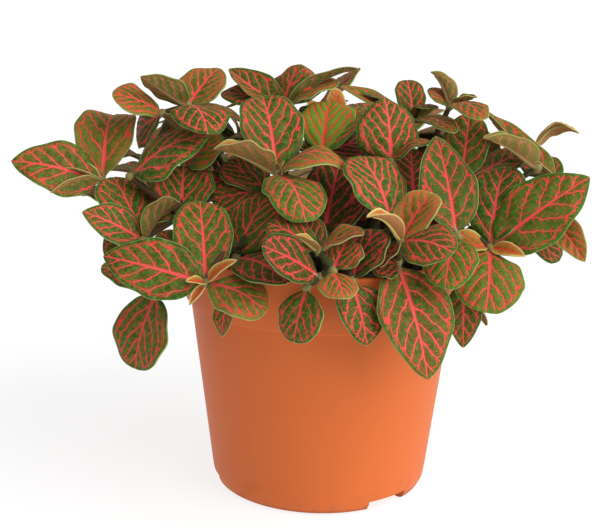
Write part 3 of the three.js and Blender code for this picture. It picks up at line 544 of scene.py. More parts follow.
def clearance_of(cloud, stem):
    """How far a leaf's points are from the pot and from the other stems and their leaves."""
    pot_gap = distance_to_pot(cloud["points"]).min()
    near = min(CLEARANCE, pot_gap * CLEARANCE / POT_CLEARANCE)
    for other in stems:
        if other is not stem:
            near = smallest_distance(cloud, other["cloud"], near)
            for settled in other["settled"]:
                near = smallest_distance(cloud, settled["cloud"], near)
    return near


def settle_leaf(blade, stem):
    """The first form of a leaf that is clear of all else, or else its clearest, and how clear."""
    best, best_near = None, -math.inf
    for choice in leaf_choices(blade):
        cloud = make_cloud(leaf_points(choice, SAMPLE_SHARES, SAMPLE_SIDES))
        near = clearance_of(cloud, stem)
        if near > best_near:
            best, best_near = {**choice, "cloud": cloud}, near
        if near >= CLEARANCE:
            break
    return best, best_near


def settle_leaves():
    """Settles the leaves one by one. A leaf behind that finds no room is left out."""
    for stem in stems:
        stem["settled"] = []
    for stem in stems:
        for blade in stem["leaves"]:
            best, near = settle_leaf(blade, stem)
            if "tip" in blade or near >= TIGHT_CLEARANCE:
                stem["settled"].append(best)


def grow_back_leaf(heading, turn, pitch, size, draw):
    length = BACK_LENGTH * size * draw(*BACK_LENGTHS)
    return {
        "at": 0, "length": length, "pointed": False, "tone": BACK_SHADE_TONE,
        "young": BACK_YOUNG if size < BACK_YOUNG_SIZE else 0.0,
        "heading": heading + turn + draw(*BACK_TURNS),
        "pitch": pitch + draw(*BACK_PITCHES),
        "wide": length * BACK_RATIO * draw(*BACK_WIDTHS),
        "arch": draw(*BACK_ARCHES),
        "roll": draw(*BACK_ROLLS),
        "fold": draw(*BACK_FOLDS),
    }


def grow_back_stems():
    draw = make_random(BACK_SEED)
    for index, (heading, distance, height) in enumerate(BACK_CROWNS):
        angle = math.radians(heading)
        point = np.array((distance * math.cos(angle), distance * math.sin(angle), height))
        leaves = [grow_back_leaf(heading, *form, draw) for form in BACK_LEAVES]
        add_stem(f"back_{index + 1:02d}", [(point, None)], *leaves)


grow_back_stems()
root_stems()
settle_leaves()

# The fine leaves. Lengths in millimetres are for a leaf FULL_WIDTH wide, and smaller on a smaller one.
FRONT_GRID = (22, 46)
BACK_GRID = (12, 28)
SMALL_GRID = (12, 26)
SMALL_LEAF = 9.5
FULL_WIDTH = 26
FINE_START = 0.05
TIP_ROWS = 0.2
FINE_THICKNESS = 0.45
THINNEST = 0.6
LEAN = 0.05
RIPPLE = 0.022
RIPPLE_TURNS = 3.2
RIPPLE_SHIFT = 2
WAVE = (0.5, 1.1)
WAVE_TURNS = (1.4, 2.6)
WAVE_SHIFT = 1.5
TURNED_EDGE = 0.5
FREE_EDGE = 6
QUILT = 0.55
QUILT_START = (0.04, 0.25)
QUILT_EDGE = 3
CHANNEL_DIP = 0.55
CHANNEL_SPREAD = 1.1
VEIN_PAIRS = (4.8, 6.1)
PAIRS_BY_WIDTH = 0.3
PAIRS_BY_SLENDERNESS = 0.5
USUAL_SLENDERNESS = 1.5
VEIN_SLOPE = 0.6
VEIN_SLOPE_GAIN = 0.9
VEIN_CURVE = 0.9
VEIN_OFFSET = 0.42
FINE_SEED = 7103
DIFFERENCE = 0.001

# Their stalks, and the keel that each midrib makes below its leaf
STALK_RADIUS = 1.0
KEEL_RADIUS = 0.25
KEEL_END = 0.86
KEEL_SHIFT = 0.55
KEEL_SIDES = 8
KEEL_CUTS = 11

# The fine stems
ROD_SIDES = 12
ROD_CUTS = 17
STEM_TAPER = 0.8
STEM_BURIED = 8
KNOT_RADIUS = 1.7
KNOT_STRETCH = 1.25
KNOT_YOUNG = 0.35
HAIRS_PER_LEG = 70
HAIRS_PER_KNOT = 60
HAIR_START = 0.12
HAIR_LENGTHS = (0.78, 1.43)
HAIR_RADIUS = 0.06
HAIR_TIP = 0.1
HAIR_SIDES = 3
OFF_UP = 0.3

# What keeps a rod's sides known where it runs straight up
OFF_LINE = 0.01

# The places of a piece's two finishes
LEAF_FACES, STEM_FACES = 0, 1


def smooth_step(value, low, high):
    """0 below low, 1 above high, and a smooth rise between."""
    t = np.clip((value - low) / (high - low), 0, 1)
    return t * t * (3 - 2 * t)


def add_object(name, data):
    """A new object in the scene."""
    thing = bpy.data.objects.new(name, data)
    bpy.context.scene.collection.objects.link(thing)
    return thing


def make_mesh(bm, name):
    """The mesh of a bmesh, which isn't used again."""
    mesh = bpy.data.meshes.new(name)
    bm.to_mesh(mesh)
    bm.free()
    return mesh


def make_form(bm, name, material):
    """A finished small form: its mesh, which copies are taken from, and where its points are."""
    for face in bm.faces:
        face.smooth = True
        face.material_index = material
    mesh = make_mesh(bm, name)
    places = np.empty(len(mesh.vertices) * 3)
    mesh.vertices.foreach_get("co", places)
    return {"mesh": mesh, "places": places.reshape(-1, 3)}


def make_sheet_form(columns, rows):
    """A flat sheet with a top and an underside: X across, Y along, and Z 0 or -1."""
    bm = bmesh.new()
    bmesh.ops.create_grid(bm, x_segments=columns, y_segments=rows, size=1)
    bmesh.ops.solidify(bm, geom=bm.faces[:], thickness=1)
    return make_form(bm, "blade_form", LEAF_FACES)


def make_rod_form(sides, cuts=0, tip=1):
    """A round rod of radius 1 from Z 0 to 1, with rings to bend it by, and a thinner tip."""
    bm = bmesh.new()
    raised = Matrix.Translation((0, 0, 0.5))
    bmesh.ops.create_cone(
        bm, cap_ends=True, segments=sides, radius1=1, radius2=tip, depth=1, matrix=raised
    )
    if cuts:
        lengthwise = [e for e in bm.edges if abs(e.verts[0].co.z - e.verts[1].co.z) > 0.5]
        bmesh.ops.subdivide_edges(bm, edges=lengthwise, cuts=cuts)
    return make_form(bm, "rod_form", STEM_FACES)


def make_knot_form():
    bm = bmesh.new()
    bmesh.ops.create_icosphere(bm, subdivisions=2, radius=1)
    return make_form(bm, "knot_form", STEM_FACES)


class Piece:
    """A piece's mesh, gathered form by form with the values that its finishes read."""

    values_of = ("spot", "blade", "span", "tint")

    def __init__(self, name):
        self.name = name
        self.bm = bmesh.new()
        self.values = {value: [] for value in self.values_of}

    def add(self, form, places, **values):
        """Adds a copy of a form with its points at these places, in millimetres."""
        copy = form["mesh"].copy()
        copy.vertices.foreach_set("co", (places * MM).ravel())
        self.bm.from_mesh(copy)
        bpy.data.meshes.remove(copy)
        for value in self.values_of:
            columns = np.broadcast_arrays(places[:, 0], *values.get(value, (0, 0, 0)))[1:]
            self.values[value].append(np.stack(columns, axis=1))

    def finish(self, finishes, slot, node):
        """Makes the object, which rides on the part and stands for its node."""
        mesh = make_mesh(self.bm, self.name)
        for value, rows in self.values.items():
            layer = mesh.attributes.new(value, "FLOAT_VECTOR", "POINT")
            layer.data.foreach_set("vector", np.concatenate(rows).ravel())
        for finish in finishes:
            mesh.materials.append(finish)
        return show(mesh, slot, node)


def show(mesh, slot, node):
    """Puts a mesh in the scene in place of a CAD node."""
    piece = add_object(mesh.name, mesh)
    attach(piece, "root")
    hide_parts(node)
    return piece


def draw_traits(blade, draw):
    """What makes each leaf a little different: a large or slender one has a few more veins."""
    slenderness = np.linalg.norm(blade["end"] - blade["root"]) / blade["wide"]
    more = (slenderness / USUAL_SLENDERNESS) ** PAIRS_BY_SLENDERNESS
    more = (blade["wide"] / FULL_WIDTH) ** PAIRS_BY_WIDTH * more
    return {
        "seed": draw(0, 1),
        "lean": draw(-LEAN, LEAN),
        "start": draw(0, 2 * math.pi),
        "wave": draw(*WAVE),
        "wave_turns": draw(*WAVE_TURNS),
        "pairs": draw(*VEIN_PAIRS) * more,
    }


def place_on_leaf(blade, share, side):
    """Where points lie on a leaf: across and along it in blade lengths, and mm from its edge."""
    length = np.linalg.norm(blade["end"] - blade["root"]) * (1 - STALK_SHARE)
    half = half_width(blade, share)
    along = (share - STALK_SHARE) / (1 - STALK_SHARE)
    edge = np.minimum(half * (1 - np.abs(side)), (1 - along) * length)
    return half * side / length, along, edge


def vein_grade(out, along):
    """How far up the midrib the side vein through a point starts, for numbers and for wires."""
    return along - out * (VEIN_SLOPE + VEIN_SLOPE_GAIN * along) - VEIN_CURVE * out * out


def fine_points(blade, share, side):
    """Points of a leaf's upper side: wavy, turned down at the edge, channelled and quilted."""
    traits = blade["traits"]
    size = blade["wide"] / FULL_WIDTH
    across, along, edge = place_on_leaf(blade, share, side)
    turn = 2 * math.pi * share
    ripple_turn = RIPPLE_TURNS * turn + traits["start"] + RIPPLE_SHIFT * np.sign(side)
    ripple = RIPPLE * np.sin(ripple_turn)
    points = leaf_points(blade, share, side * (1 + traits["lean"] * np.sign(side) + ripple))
    wave_turn = traits["wave_turns"] * turn + traits["start"] + WAVE_SHIFT * np.sign(side)
    wave = traits["wave"] * side**2 * np.sin(wave_turn)
    turned = TURNED_EDGE * side**4
    grade = vein_grade(np.abs(across), along)
    phase = traits["pairs"] * grade + VEIN_OFFSET * (across > 0) + traits["seed"]
    pillow = QUILT * np.sin(math.pi * phase) ** 2 * smooth_step(np.abs(side), *QUILT_START)
    pillow = pillow * smooth_step(edge, 0, QUILT_EDGE * size)
    half = half_width(blade, share)
    channel = CHANNEL_DIP * np.exp(-((half * side / (CHANNEL_SPREAD * size)) ** 2))
    free = smooth_step(half, 0, FREE_EDGE * size)
    rise = size * ((wave - turned) * free + pillow - channel * (1 - along))
    return points + rise[:, None] * leaf_frame(blade)[2]


def points_and_normals(blade, share, side):
    here = fine_points(blade, share, side)
    forward = fine_points(blade, share + DIFFERENCE, side) - here
    outward = fine_points(blade, share, side + DIFFERENCE) - here
    normals = np.cross(outward, forward)
    return here, normals / np.linalg.norm(normals, axis=1)[:, None]


def around(centre, radius, form, sideways, upward):
    """Where a round form's points lie when it is bent along a line of centres."""
    x, y, _ = form["places"].T
    return centre + (radius * x)[:, None] * sideways + (radius * y)[:, None] * upward


def add_leaf(piece, blade, sheet, rod):
    """A leaf blade, and the stalk that carries on below it as the midrib's keel."""
    across, upward, depth = sheet["places"].T
    row = (upward + 1) / 2
    row = row + TIP_ROWS * np.sin(math.pi * row) * (1 - row * row)
    share = FINE_START + (1 - DIFFERENCE * 2 - FINE_START) * np.clip(row, 0, 1)
    size = min(1, THINNEST + (1 - THINNEST) * blade["wide"] / FULL_WIDTH)
    points, normals = points_and_normals(blade, share, across)
    points = points + (depth * FINE_THICKNESS * size)[:, None] * normals
    length = np.linalg.norm(blade["end"] - blade["root"]) * (1 - STALK_SHARE)
    piece.add(
        sheet, points,
        spot=place_on_leaf(blade, share, across),
        blade=(blade["traits"]["pairs"], blade["traits"]["seed"], np.abs(across)),
        span=(length, blade["wide"] / 2, 0),
        tint=(blade["young"], -depth, blade["tone"]),
    )
    add_keel(piece, blade, rod, size)


def add_keel(piece, blade, rod, size):
    rise = rod["places"][:, 2]
    share = KEEL_END * rise
    points, normals = points_and_normals(blade, share, np.zeros(len(share)))
    radius = STALK_RADIUS * size + (KEEL_RADIUS - STALK_RADIUS * size) * rise
    sunk = (FINE_THICKNESS * size + KEEL_SHIFT * radius) * smooth_step(share, 0, 2 * STALK_SHARE)
    centre = points - sunk[:, None] * normals
    points = around(centre, radius, rod, leaf_frame(blade)[3], -normals)
    piece.add(rod, points, tint=(blade["young"], 1, blade["tone"]))


def add_rod(piece, rod, leg, thick_start, thick_end):
    """A round stem that follows a leg and grows thinner."""
    round_x, round_y, rise = rod["places"].T
    start, middle, end = leg
    sideways = unit(np.cross(end - start, middle - start + UP * OFF_LINE))
    share = rise[:, None]
    heading = (1 - share) * (middle - start) + share * (end - middle)
    heading = heading / np.linalg.norm(heading, axis=1)[:, None]
    radius = thick_start + (thick_end - thick_start) * rise
    points = around(on_leg(leg, share), radius, rod, sideways, np.cross(heading, sideways))
    piece.add(rod, points, spot=(rise, round_x, round_y))


def add_knot(piece, knot, leg):
    """The swollen joint at a leg's end, drawn out along it."""
    heading = unit(leg[2] - leg[1])
    ball = knot["places"]
    stretch = (ball @ heading)[:, None] * heading * (KNOT_STRETCH - 1)
    piece.add(knot, leg[2] + KNOT_RADIUS * (ball + stretch), tint=(KNOT_YOUNG, 0, 0))


def add_hair(piece, hair, centre, radius, draw):
    """A fine hair that stands out from a round surface around a centre."""
    out = unit(np.array((draw(-1, 1), draw(-1, 1), draw(-1, 1))))
    side = unit(np.cross(out, UP + OFF_UP))
    long = draw(*HAIR_LENGTHS) + radius
    line = centre + (hair["places"][:, 2] * long)[:, None] * out
    points = around(line, HAIR_RADIUS, hair, side, np.cross(out, side))
    piece.add(hair, points, tint=(0, 0, 1))


def add_hairs(piece, hair, leg, draw):
    """The hairs along a stem and around the knot at its end."""
    for _ in range(HAIRS_PER_LEG):
        centre = on_leg(leg, draw(HAIR_START, 1))
        add_hair(piece, hair, centre, STEM_RADIUS * STEM_TAPER, draw)
    for _ in range(HAIRS_PER_KNOT):
        add_hair(piece, hair, leg[2], KNOT_RADIUS, draw)


def make_stem(stem, forms, draw, finishes):
    """One leafy stem: its legs with their knots and hairs, and its leaves."""
    name = "leafy_stem_" + stem["name"]
    piece = Piece("fine_" + name)
    foot = stem["legs"][0][0]
    buried = foot - UP * (STEM_RISE + STEM_BURIED)
    straight = (buried, (buried + foot) / 2 + VIEW_RIGHT * OFF_LINE, foot)
    add_rod(piece, forms["rod"], straight, STEM_RADIUS, STEM_RADIUS)
    for leg in stem["legs"]:
        add_rod(piece, forms["rod"], leg, STEM_RADIUS, STEM_RADIUS * STEM_TAPER)
        add_hairs(piece, forms["hair"], leg, draw)
        add_knot(piece, forms["knot"], leg)
    usual_sheet = forms["back_sheet" if "back_" in stem["name"] else "front_sheet"]
    for blade in stem["settled"]:
        blade["traits"] = draw_traits(blade, draw)
        sheet = forms["small_sheet"] if blade["wide"] < SMALL_LEAF else usual_sheet
        add_leaf(piece, blade, sheet, forms["keel"])
    return piece.finish(finishes, "leaf", name)

# The colour sockets of a Mix node, and where a soft line's edge starts and ends
MIX_UNDER, MIX_OVER, MIX_RESULT = 6, 7, 2
LINE_EDGE = (0.5, 1.3)


def math_node(operation, swapped=False):
    """A method of wires that adds one Math node."""
    def method(wire, *others):
        values = (*others, wire) if swapped else (wire, *others)
        return wire.finish.node("ShaderNodeMath", dict(enumerate(values)), operation=operation)

    return method


class Wire:
    """A number or a colour in a material: sums with it add their Math nodes."""

    def __init__(self, finish, socket):
        self.finish = finish
        self.socket = socket

    __add__ = __radd__ = math_node("ADD")
    __sub__ = math_node("SUBTRACT")
    __rsub__ = math_node("SUBTRACT", swapped=True)
    __mul__ = __rmul__ = math_node("MULTIPLY")
    __truediv__ = math_node("DIVIDE")
    __abs__ = math_node("ABSOLUTE")
    above = math_node("GREATER_THAN")
    most = math_node("MAXIMUM")
    root = math_node("SQRT")
    whole = math_node("ROUND")

    def rise(self, low, high):
        """0 below low, 1 above high, and a smooth rise between."""
        sockets = {"Value": self, "From Min": low, "From Max": high}
        return self.finish.node("ShaderNodeMapRange", sockets, interpolation_type="SMOOTHSTEP")

    def line(self, half):
        """1 on a line this half wide where the number is 0, with soft edges."""
        return 1 - self.rise(half * LINE_EDGE[0], half * LINE_EDGE[1])


class Finish:
    """A material with one Principled shader."""

    def __init__(self, name, **constants):
        self.material = bpy.data.materials.new(name)
        self.material.use_nodes = True
        self.tree = self.material.node_tree
        self.shader = self.tree.nodes["Principled BSDF"]
        for socket, value in constants.items():
            self.join(value, self.shader.inputs[socket.replace("_", " ")])

    def join(self, value, socket):
        """Links a wire to a socket, or sets a plain value or a colour on it."""
        if isinstance(value, Wire):
            self.tree.links.new(value.socket, socket)
        else:
            socket.default_value = (*value, 1.0) if isinstance(value, tuple) else value

    def node(self, kind, sockets, output=0, **settings):
        """Any node: its settings are set first, and then the values or wires of its sockets."""
        node = self.tree.nodes.new(kind)
        for setting, value in settings.items():
            setattr(node, setting, value)
        for socket, value in sockets.items():
            self.join(value, node.inputs[socket])
        return Wire(self, node.outputs[output])

    def attribute(self, name):
        """The three numbers that a piece holds under a name."""
        return self.split(self.node("ShaderNodeAttribute", {}, "Vector", attribute_name=name))

    def split(self, vector):
        first = self.node("ShaderNodeSeparateXYZ", {0: vector})
        return [Wire(self, socket) for socket in first.socket.node.outputs]

    def vector(self, *numbers):
        return self.node("ShaderNodeCombineXYZ", dict(enumerate(numbers)))

    def place(self):
        """Object coordinates."""
        return self.node("ShaderNodeTexCoord", {}, "Object")

    def noise(self, vector, scale, detail=2.0, roughness=0.5):
        sockets = {"Vector": vector, "Scale": scale, "Detail": detail, "Roughness": roughness}
        return self.node("ShaderNodeTexNoise", sockets, "Fac")

    def cells(self, vector, scale, randomness=0.9):
        """Distance from the walls of a net of cells in a plane."""
        return self.node(
            "ShaderNodeTexVoronoi", {"Vector": vector, "Scale": scale, "Randomness": randomness},
            "Distance", feature="DISTANCE_TO_EDGE", voronoi_dimensions="2D",
        )

    def chance(self, number):
        """A random number for each whole number."""
        return self.node("ShaderNodeTexWhiteNoise", {"W": number}, "Value", noise_dimensions="1D")

    def layers(self, colour, *coats):
        """A colour under coats, each with its factor."""
        for factor, coat in coats:
            sockets = {0: factor, MIX_UNDER: colour, MIX_OVER: coat}
            colour = self.node("ShaderNodeMix", sockets, MIX_RESULT, data_type="RGBA")
        return colour

    def coat(self, colour, roughness, height, bump):
        """Links the colour, the roughness and a bump of this strength and distance to the shader."""
        strength, distance = bump
        sockets = {"Strength": strength, "Distance": distance, "Height": height}
        self.join(colour, self.shader.inputs["Base Color"])
        self.join(roughness, self.shader.inputs["Roughness"])
        self.join(self.node("ShaderNodeBump", sockets), self.shader.inputs["Normal"])
        return self.material


def weigh(gains, *wires):
    """The sum of wires, each with its gain."""
    return sum(wire * gain for gain, wire in zip(gains, wires))


# Leaf colours, linear
LEAF_GREEN = (0.092, 0.235, 0.030)
LEAF_DARK_GREEN = (0.025, 0.079, 0.009)
LEAF_DEEP_GREEN = (0.022, 0.047, 0.006)
LEAF_FRESH_GREEN = (0.170, 0.330, 0.030)
LEAF_MARGIN = (0.52, 0.51, 0.22)
LEAF_SHEEN = (1.0, 0.62, 0.35)
VEIN_CORAL = (0.82, 0.088, 0.088)
VEIN_FINE_RED = (0.72, 0.060, 0.042)
VEIN_DEEP_PINK = (0.62, 0.036, 0.058)
VEIN_SIDE_BROWN = (0.19, 0.075, 0.010)
YOUNG_ORANGE = (0.52, 0.19, 0.020)
YOUNG_YELLOW = (0.62, 0.42, 0.10)
YOUNG_VEIN = (0.80, 0.060, 0.030)
YOUNG_MARGIN = (0.80, 0.70, 0.30)
YOUNG_UNDER = (0.50, 0.24, 0.07)
UNDER_OLIVE = (0.125, 0.170, 0.028)
UNDER_PINK = (0.40, 0.14, 0.070)
UNDER_VEIN = (0.60, 0.20, 0.12)

# Veins: half widths and spacings in millimetres, on a leaf FULL_WIDTH wide
VEIN_SIZE = (1.1, 0.45)
MIDRIB = (0.95, 0.75)
SIDE_VEIN = (0.29, 0.12)
SIDE_VEIN_TAPER = 0.6
SIDE_VEIN_WANDER = (0.7, 0.15)
FORK_START = (0.36, 0.44)
FORK_END = 1.1
FORK_SPREAD = 0.24
BRANCH_SPACING = (3.2, 2.2)
BRANCH_ANGLE = 0.9
BRANCH = (0.22, 0.05, 0.16)
BRANCH_REACH = (0.26, 0.34)
BRANCH_FADE = 0.06
BRANCH_WANDER = (0.4, 0.15)
BRANCH_STRENGTH = 0.95
LOOP = (3.3, 1.7)
LOOP_LINE = 0.34
LOOP_WOBBLE = 1.2
LOOP_REACH = (0.3, 0.6)
LOOP_HEIGHTS = (0.2, 0.45)
NET_CELL = 2.1
NET_LINE = 0.055
NET_WANDER = (3, 2)
NET_PATCHES = (0.35, 0.65)
NET_STRENGTH = 0.5
CLEAR_MARGIN = (0.5, 2.0)
CLEAR_FINE_MARGIN = (0.9, 2.6)
BROWN_LINES = (0.26, 0.05)
RIM_LINE = (0.22, 0.4)

# How green a leaf is: patches, painted highlight in the middle of each small cell of its vein net with
# painted shade at the cell's edge, fresh and darker leaves of their own, the flush of a young one
SPOT_PATCHES = (0.3, 0.7)
PILLOW_LIGHT_CELLS = (0.05, 0.35)
PILLOW_LIGHT_LEAST = 0.3
OWN_FRESH = (0.7, 0.45)
OWN_DEEP = 0.35
YOUNG_FLUSH = (1.15, 1.7)
YOUNG_CENTRE = 0.7
BROWN = (0.24, 0.14)
FRESH_TISSUE = 0.8

# How strongly each coat covers the last, and what a leaf's own tone adds to its rim and stripes
DEEP_RED = 0.8
FRESH_RED = 0.7
RIM_COVER = (0.35, 0.5)
STRIPE_SPREAD = 2.6
STRIPE_COVER = (0.15, 0.4, 0.5)
YOUNG_UNDER_COVER = 0.8
VEIN_UNDER_COVER = 0.7
RIM_UNDER_COVER = 0.6
UNDER_SIDE = (0.3, 0.7)

# Roughness: its base, then what patches, veins and the underside add. Height the same way.
LEAF_ROUGHNESS = (0.40, 0.16, -0.05, 0.15)
LEAF_HEIGHT = (0.4, 0.3, -0.25)

# Factors that keep the random draws of leaves, sides, veins and branches apart
SEED_DRAW, SIDE_DRAW, UPPER_DRAW, VEIN_DRAW, BRANCH_DRAW = 91, 37, 101, 29, 7
PLACE_DRAW, NET_DRAW, SPACING_DRAW, TONE_DRAW, CLIMB_DRAW = 37, 40, 577, 911, 5

# Noise on a leaf: scales in each blade length, then detail and roughness
DRIFT_SCALE = 7.0
WOBBLE_SCALE = 30.0
PATCHES = (13.0, 4.0, 0.6)
# Strength and distance, in metres
LEAF_BUMP = (0.7, 0.0005)


class LeafFinish(Finish):
    """Quilted green leaf with forked coral veins, a pale margin and a duller underside."""

    def __init__(self):
        super().__init__(
            "nerve_leaf", Specular_IOR_Level=0.08, Sheen_Weight=0.22, Sheen_Roughness=0.25,
            Sheen_Tint=LEAF_SHEEN,
        )
        self.across, self.along, self.edge = self.attribute("spot")
        self.pairs, self.seed, self.reach = self.attribute("blade")
        self.long, self.half, _ = self.attribute("span")
        self.young, self.under, tone = self.attribute("tint")
        # A tone above 0 darkens the leaf: partly its own darker green, partly painted shade on leaves
        # that lie in shadow.
        self.deep, self.fresh = tone.most(0), (0 - tone).most(0)
        self.size = self.half * (VEIN_SIZE[0] / FULL_WIDTH) + VEIN_SIZE[1]
        self.out, self.right = abs(self.across), self.across.above(0)
        own_place = self.vector(self.across, self.along, self.seed * PLACE_DRAW)
        self.drift = self.noise(own_place, DRIFT_SCALE) - 0.5
        self.wobble = self.noise(own_place, WOBBLE_SCALE) - 0.5
        self.patch = self.noise(own_place, *PATCHES)
        self.own_tone = self.chance(self.seed * TONE_DRAW)

    def wander(self, drift, wobble):
        """How far the veins stray from their rule here."""
        return self.drift * drift + self.wobble * wobble

    def own_chance(self, number):
        """A random number that differs from leaf to leaf and from side to side."""
        return self.chance(number + self.right * SIDE_DRAW + self.seed * SEED_DRAW)

    def side_veins(self):
        """Veins that run forward from the midrib and fork."""
        phase = self.pairs * vein_grade(self.out, self.along) + VEIN_OFFSET * self.right
        phase = phase + self.seed + self.wander(*SIDE_VEIN_WANDER)
        self.number = phase.whole()
        self.upper = (phase - self.number).above(0)
        self.off = abs(phase - self.number)
        self.luck = self.own_chance(self.number)
        self.slope = self.out * (2 * VEIN_CURVE) + self.along * VEIN_SLOPE_GAIN + VEIN_SLOPE
        self.lean = (self.slope * self.slope + 1).root()
        self.spacing = self.long / (self.pairs * self.lean)
        start = FORK_START[0] + FORK_START[1] * self.luck
        self.from_fork = self.off - self.reach.rise(start, FORK_END) * FORK_SPREAD
        width = self.size * (SIDE_VEIN[0] + SIDE_VEIN[1] * self.luck)
        width = width * (1 - SIDE_VEIN_TAPER * self.reach)
        return abs(self.from_fork).line(width / self.spacing)

    def branches(self):
        """Fine veins that leave each side vein on both sides, like a fish's bones."""
        walk = (self.out + self.slope * self.along) * self.long / self.lean
        gap = BRANCH_SPACING[0] + BRANCH_SPACING[1] * self.chance(self.seed * SPACING_DRAW)
        climb = (walk - self.off * self.spacing * BRANCH_ANGLE) / gap
        climb = climb + self.luck * CLIMB_DRAW + self.wander(*BRANCH_WANDER)
        step = climb.whole()
        fortune = self.own_chance(
            step * BRANCH_DRAW + self.number * VEIN_DRAW + self.upper * UPPER_DRAW
        )
        end = BRANCH_REACH[0] + BRANCH_REACH[1] * fortune
        width = self.size * (BRANCH[0] - BRANCH[1] * self.reach - BRANCH[2] * self.off)
        width = width * math.hypot(1, BRANCH_ANGLE) / gap
        branch = abs(climb - step).line(width) * (1 - self.off.rise(end - BRANCH_FADE, end))
        return branch * self.from_fork.rise(-BRANCH_FADE, -BRANCH_FADE / 3)

    def draw_veins(self):
        """All the veins: bold ones, their branches, a faint net, and loops near the margin."""
        side_vein = self.side_veins()
        branch = self.branches()
        midrib = self.out.line(self.size * (MIDRIB[0] - MIDRIB[1] * self.along) / self.long)
        x = self.across * self.long + self.drift * NET_WANDER[0]
        y = self.along * self.long + self.wobble * NET_WANDER[1]
        self.net = self.cells(self.vector(x, y, self.seed * NET_DRAW), 1 / NET_CELL)
        fine_net = self.net.line(NET_LINE) * self.patch.rise(*NET_PATCHES) * NET_STRENGTH
        inward = self.edge / self.size
        self.clear = inward.rise(*CLEAR_MARGIN)
        fine_clear = inward.rise(*CLEAR_FINE_MARGIN)
        loop = abs(inward - LOOP[0] + self.off * (2 * LOOP[1]) + self.wobble * LOOP_WOBBLE)
        loop = loop.line(LOOP_LINE) * self.reach.rise(*LOOP_REACH)
        loop = loop * self.along.rise(*LOOP_HEIGHTS)
        self.bold = midrib.most(side_vein * self.clear)
        fine = (branch * BRANCH_STRENGTH).most(fine_net) * fine_clear
        self.vein = self.bold.most(fine).most(loop)

    def tissue(self):
        """Mottled green between the veins, with painted highlight in the middle of each small cell of
        the net and painted shade at its edges, orange in a young leaf, and browner beside veins.
        """
        # Painted light: lighter green in the middle of each quilted cell, darker green at its edge by
        # the fine veins, as light falls on the bulges.
        pillow_light = self.net.rise(*PILLOW_LIGHT_CELLS) * (1 - PILLOW_LIGHT_LEAST) + PILLOW_LIGHT_LEAST
        brown = abs(self.from_fork).line(BROWN_LINES[0]).most(self.out.line(BROWN_LINES[1]))
        return self.layers(
            LEAF_DARK_GREEN,
            (pillow_light * self.patch.rise(*SPOT_PATCHES), LEAF_GREEN),
            ((self.own_tone * OWN_FRESH[0] - OWN_FRESH[1]).most(0), LEAF_FRESH_GREEN),
            ((OWN_DEEP - self.own_tone).most(0), LEAF_DEEP_GREEN),
            # Painted shade: shaded leaves get the dark green along with truly darker ones.
            (self.deep, LEAF_DEEP_GREEN),
            (self.fresh * FRESH_TISSUE, LEAF_FRESH_GREEN),
            # On a few leaves seen at a grazing angle this young flush also paints the pinkish sheen of
            # their hairs.
            (self.young * (YOUNG_FLUSH[0] - self.off * YOUNG_FLUSH[1]), YOUNG_ORANGE),
            (self.young * (1 - self.edge / (self.half * YOUNG_CENTRE)).most(0), YOUNG_YELLOW),
            (brown * (BROWN[0] - self.young * BROWN[1]) * self.clear, VEIN_SIDE_BROWN),
        )

    def make(self):
        self.draw_veins()
        red = self.layers(
            # Painted shade on the veins too: dark pink on leaves that lie in shadow as well as on darker
            # ones.
            VEIN_FINE_RED, (self.bold, VEIN_CORAL), (self.deep * DEEP_RED, VEIN_DEEP_PINK),
            (self.young.most(self.fresh * FRESH_RED), YOUNG_VEIN),
        )
        margin = self.layers(LEAF_MARGIN, (self.young, YOUNG_MARGIN))
        rim = self.edge.line(RIM_LINE[0] + self.young * RIM_LINE[1])
        rim = rim * (RIM_COVER[0] + self.own_tone * RIM_COVER[1])
        cover = STRIPE_COVER[0] + self.own_tone * STRIPE_COVER[1] + self.young * STRIPE_COVER[2]
        stripe = (1 - self.off * STRIPE_SPREAD) * cover
        upper_side = self.layers(self.tissue(), (self.vein, red), (rim, margin))
        lower_side = self.layers(
            UNDER_OLIVE, (self.young * YOUNG_UNDER_COVER, YOUNG_UNDER), (stripe, UNDER_PINK),
            (self.vein * VEIN_UNDER_COVER, UNDER_VEIN), (rim * RIM_UNDER_COVER, margin),
        )
        colour = self.layers(upper_side, (self.under.rise(*UNDER_SIDE), lower_side))
        base, *gains = LEAF_ROUGHNESS
        roughness = base + weigh(gains, self.patch, self.vein, self.under)
        height = weigh(LEAF_HEIGHT, self.net, self.patch, self.vein)
        return self.coat(colour, roughness, height, LEAF_BUMP)


# Stem, pot and soil: colours, noise as a scale per metre with its detail, and bumps as above
STEM_GREEN = (0.045, 0.058, 0.014)
STEM_BROWN = (0.085, 0.038, 0.016)
STALK_TAN = (0.24, 0.15, 0.06)
KNOT_CREAM = (0.62, 0.52, 0.16)
HAIR_CREAM = (0.62, 0.55, 0.40)
STEM_PATCHES = (180.0, 3.0)
STEM_SPECKS = (1400.0, 2.0)
STEM_BUMP = (0.5, 0.0003)
STEM_ROUGHNESS = (0.5, 0.2)
STEM_BROWN_PATCHES = (0.35, 0.65)
STALK_COVER = 0.8
HAIR_COVER = 0.8
POT_TERRACOTTA = (0.590, 0.120, 0.021)
POT_BRIGHT = (0.650, 0.142, 0.028)
POT_STREAK = (0.52, 0.110, 0.026)
POT_DUST = (0.30, 0.12, 0.06)
POT_FOOT_SHADE = (0.22, 0.050, 0.014)
POT_CLOUDS = (22.0, 3.0)
POT_GRAIN = (1500.0, 2.0)
POT_SPECKS = (160.0, 4.0)
STREAK_ACROSS, STREAK_UP, STREAK_DETAIL = 90, 5, 3.0
STREAK_EDGE = (0.5, 0.8)
STREAK_COVER = 0.2
DUST_HEIGHT = 0.02
DUST_EDGE = (0.45, 0.75)
DUST_COVER = 0.3
FOOT_SHADE_COVER = 0.6
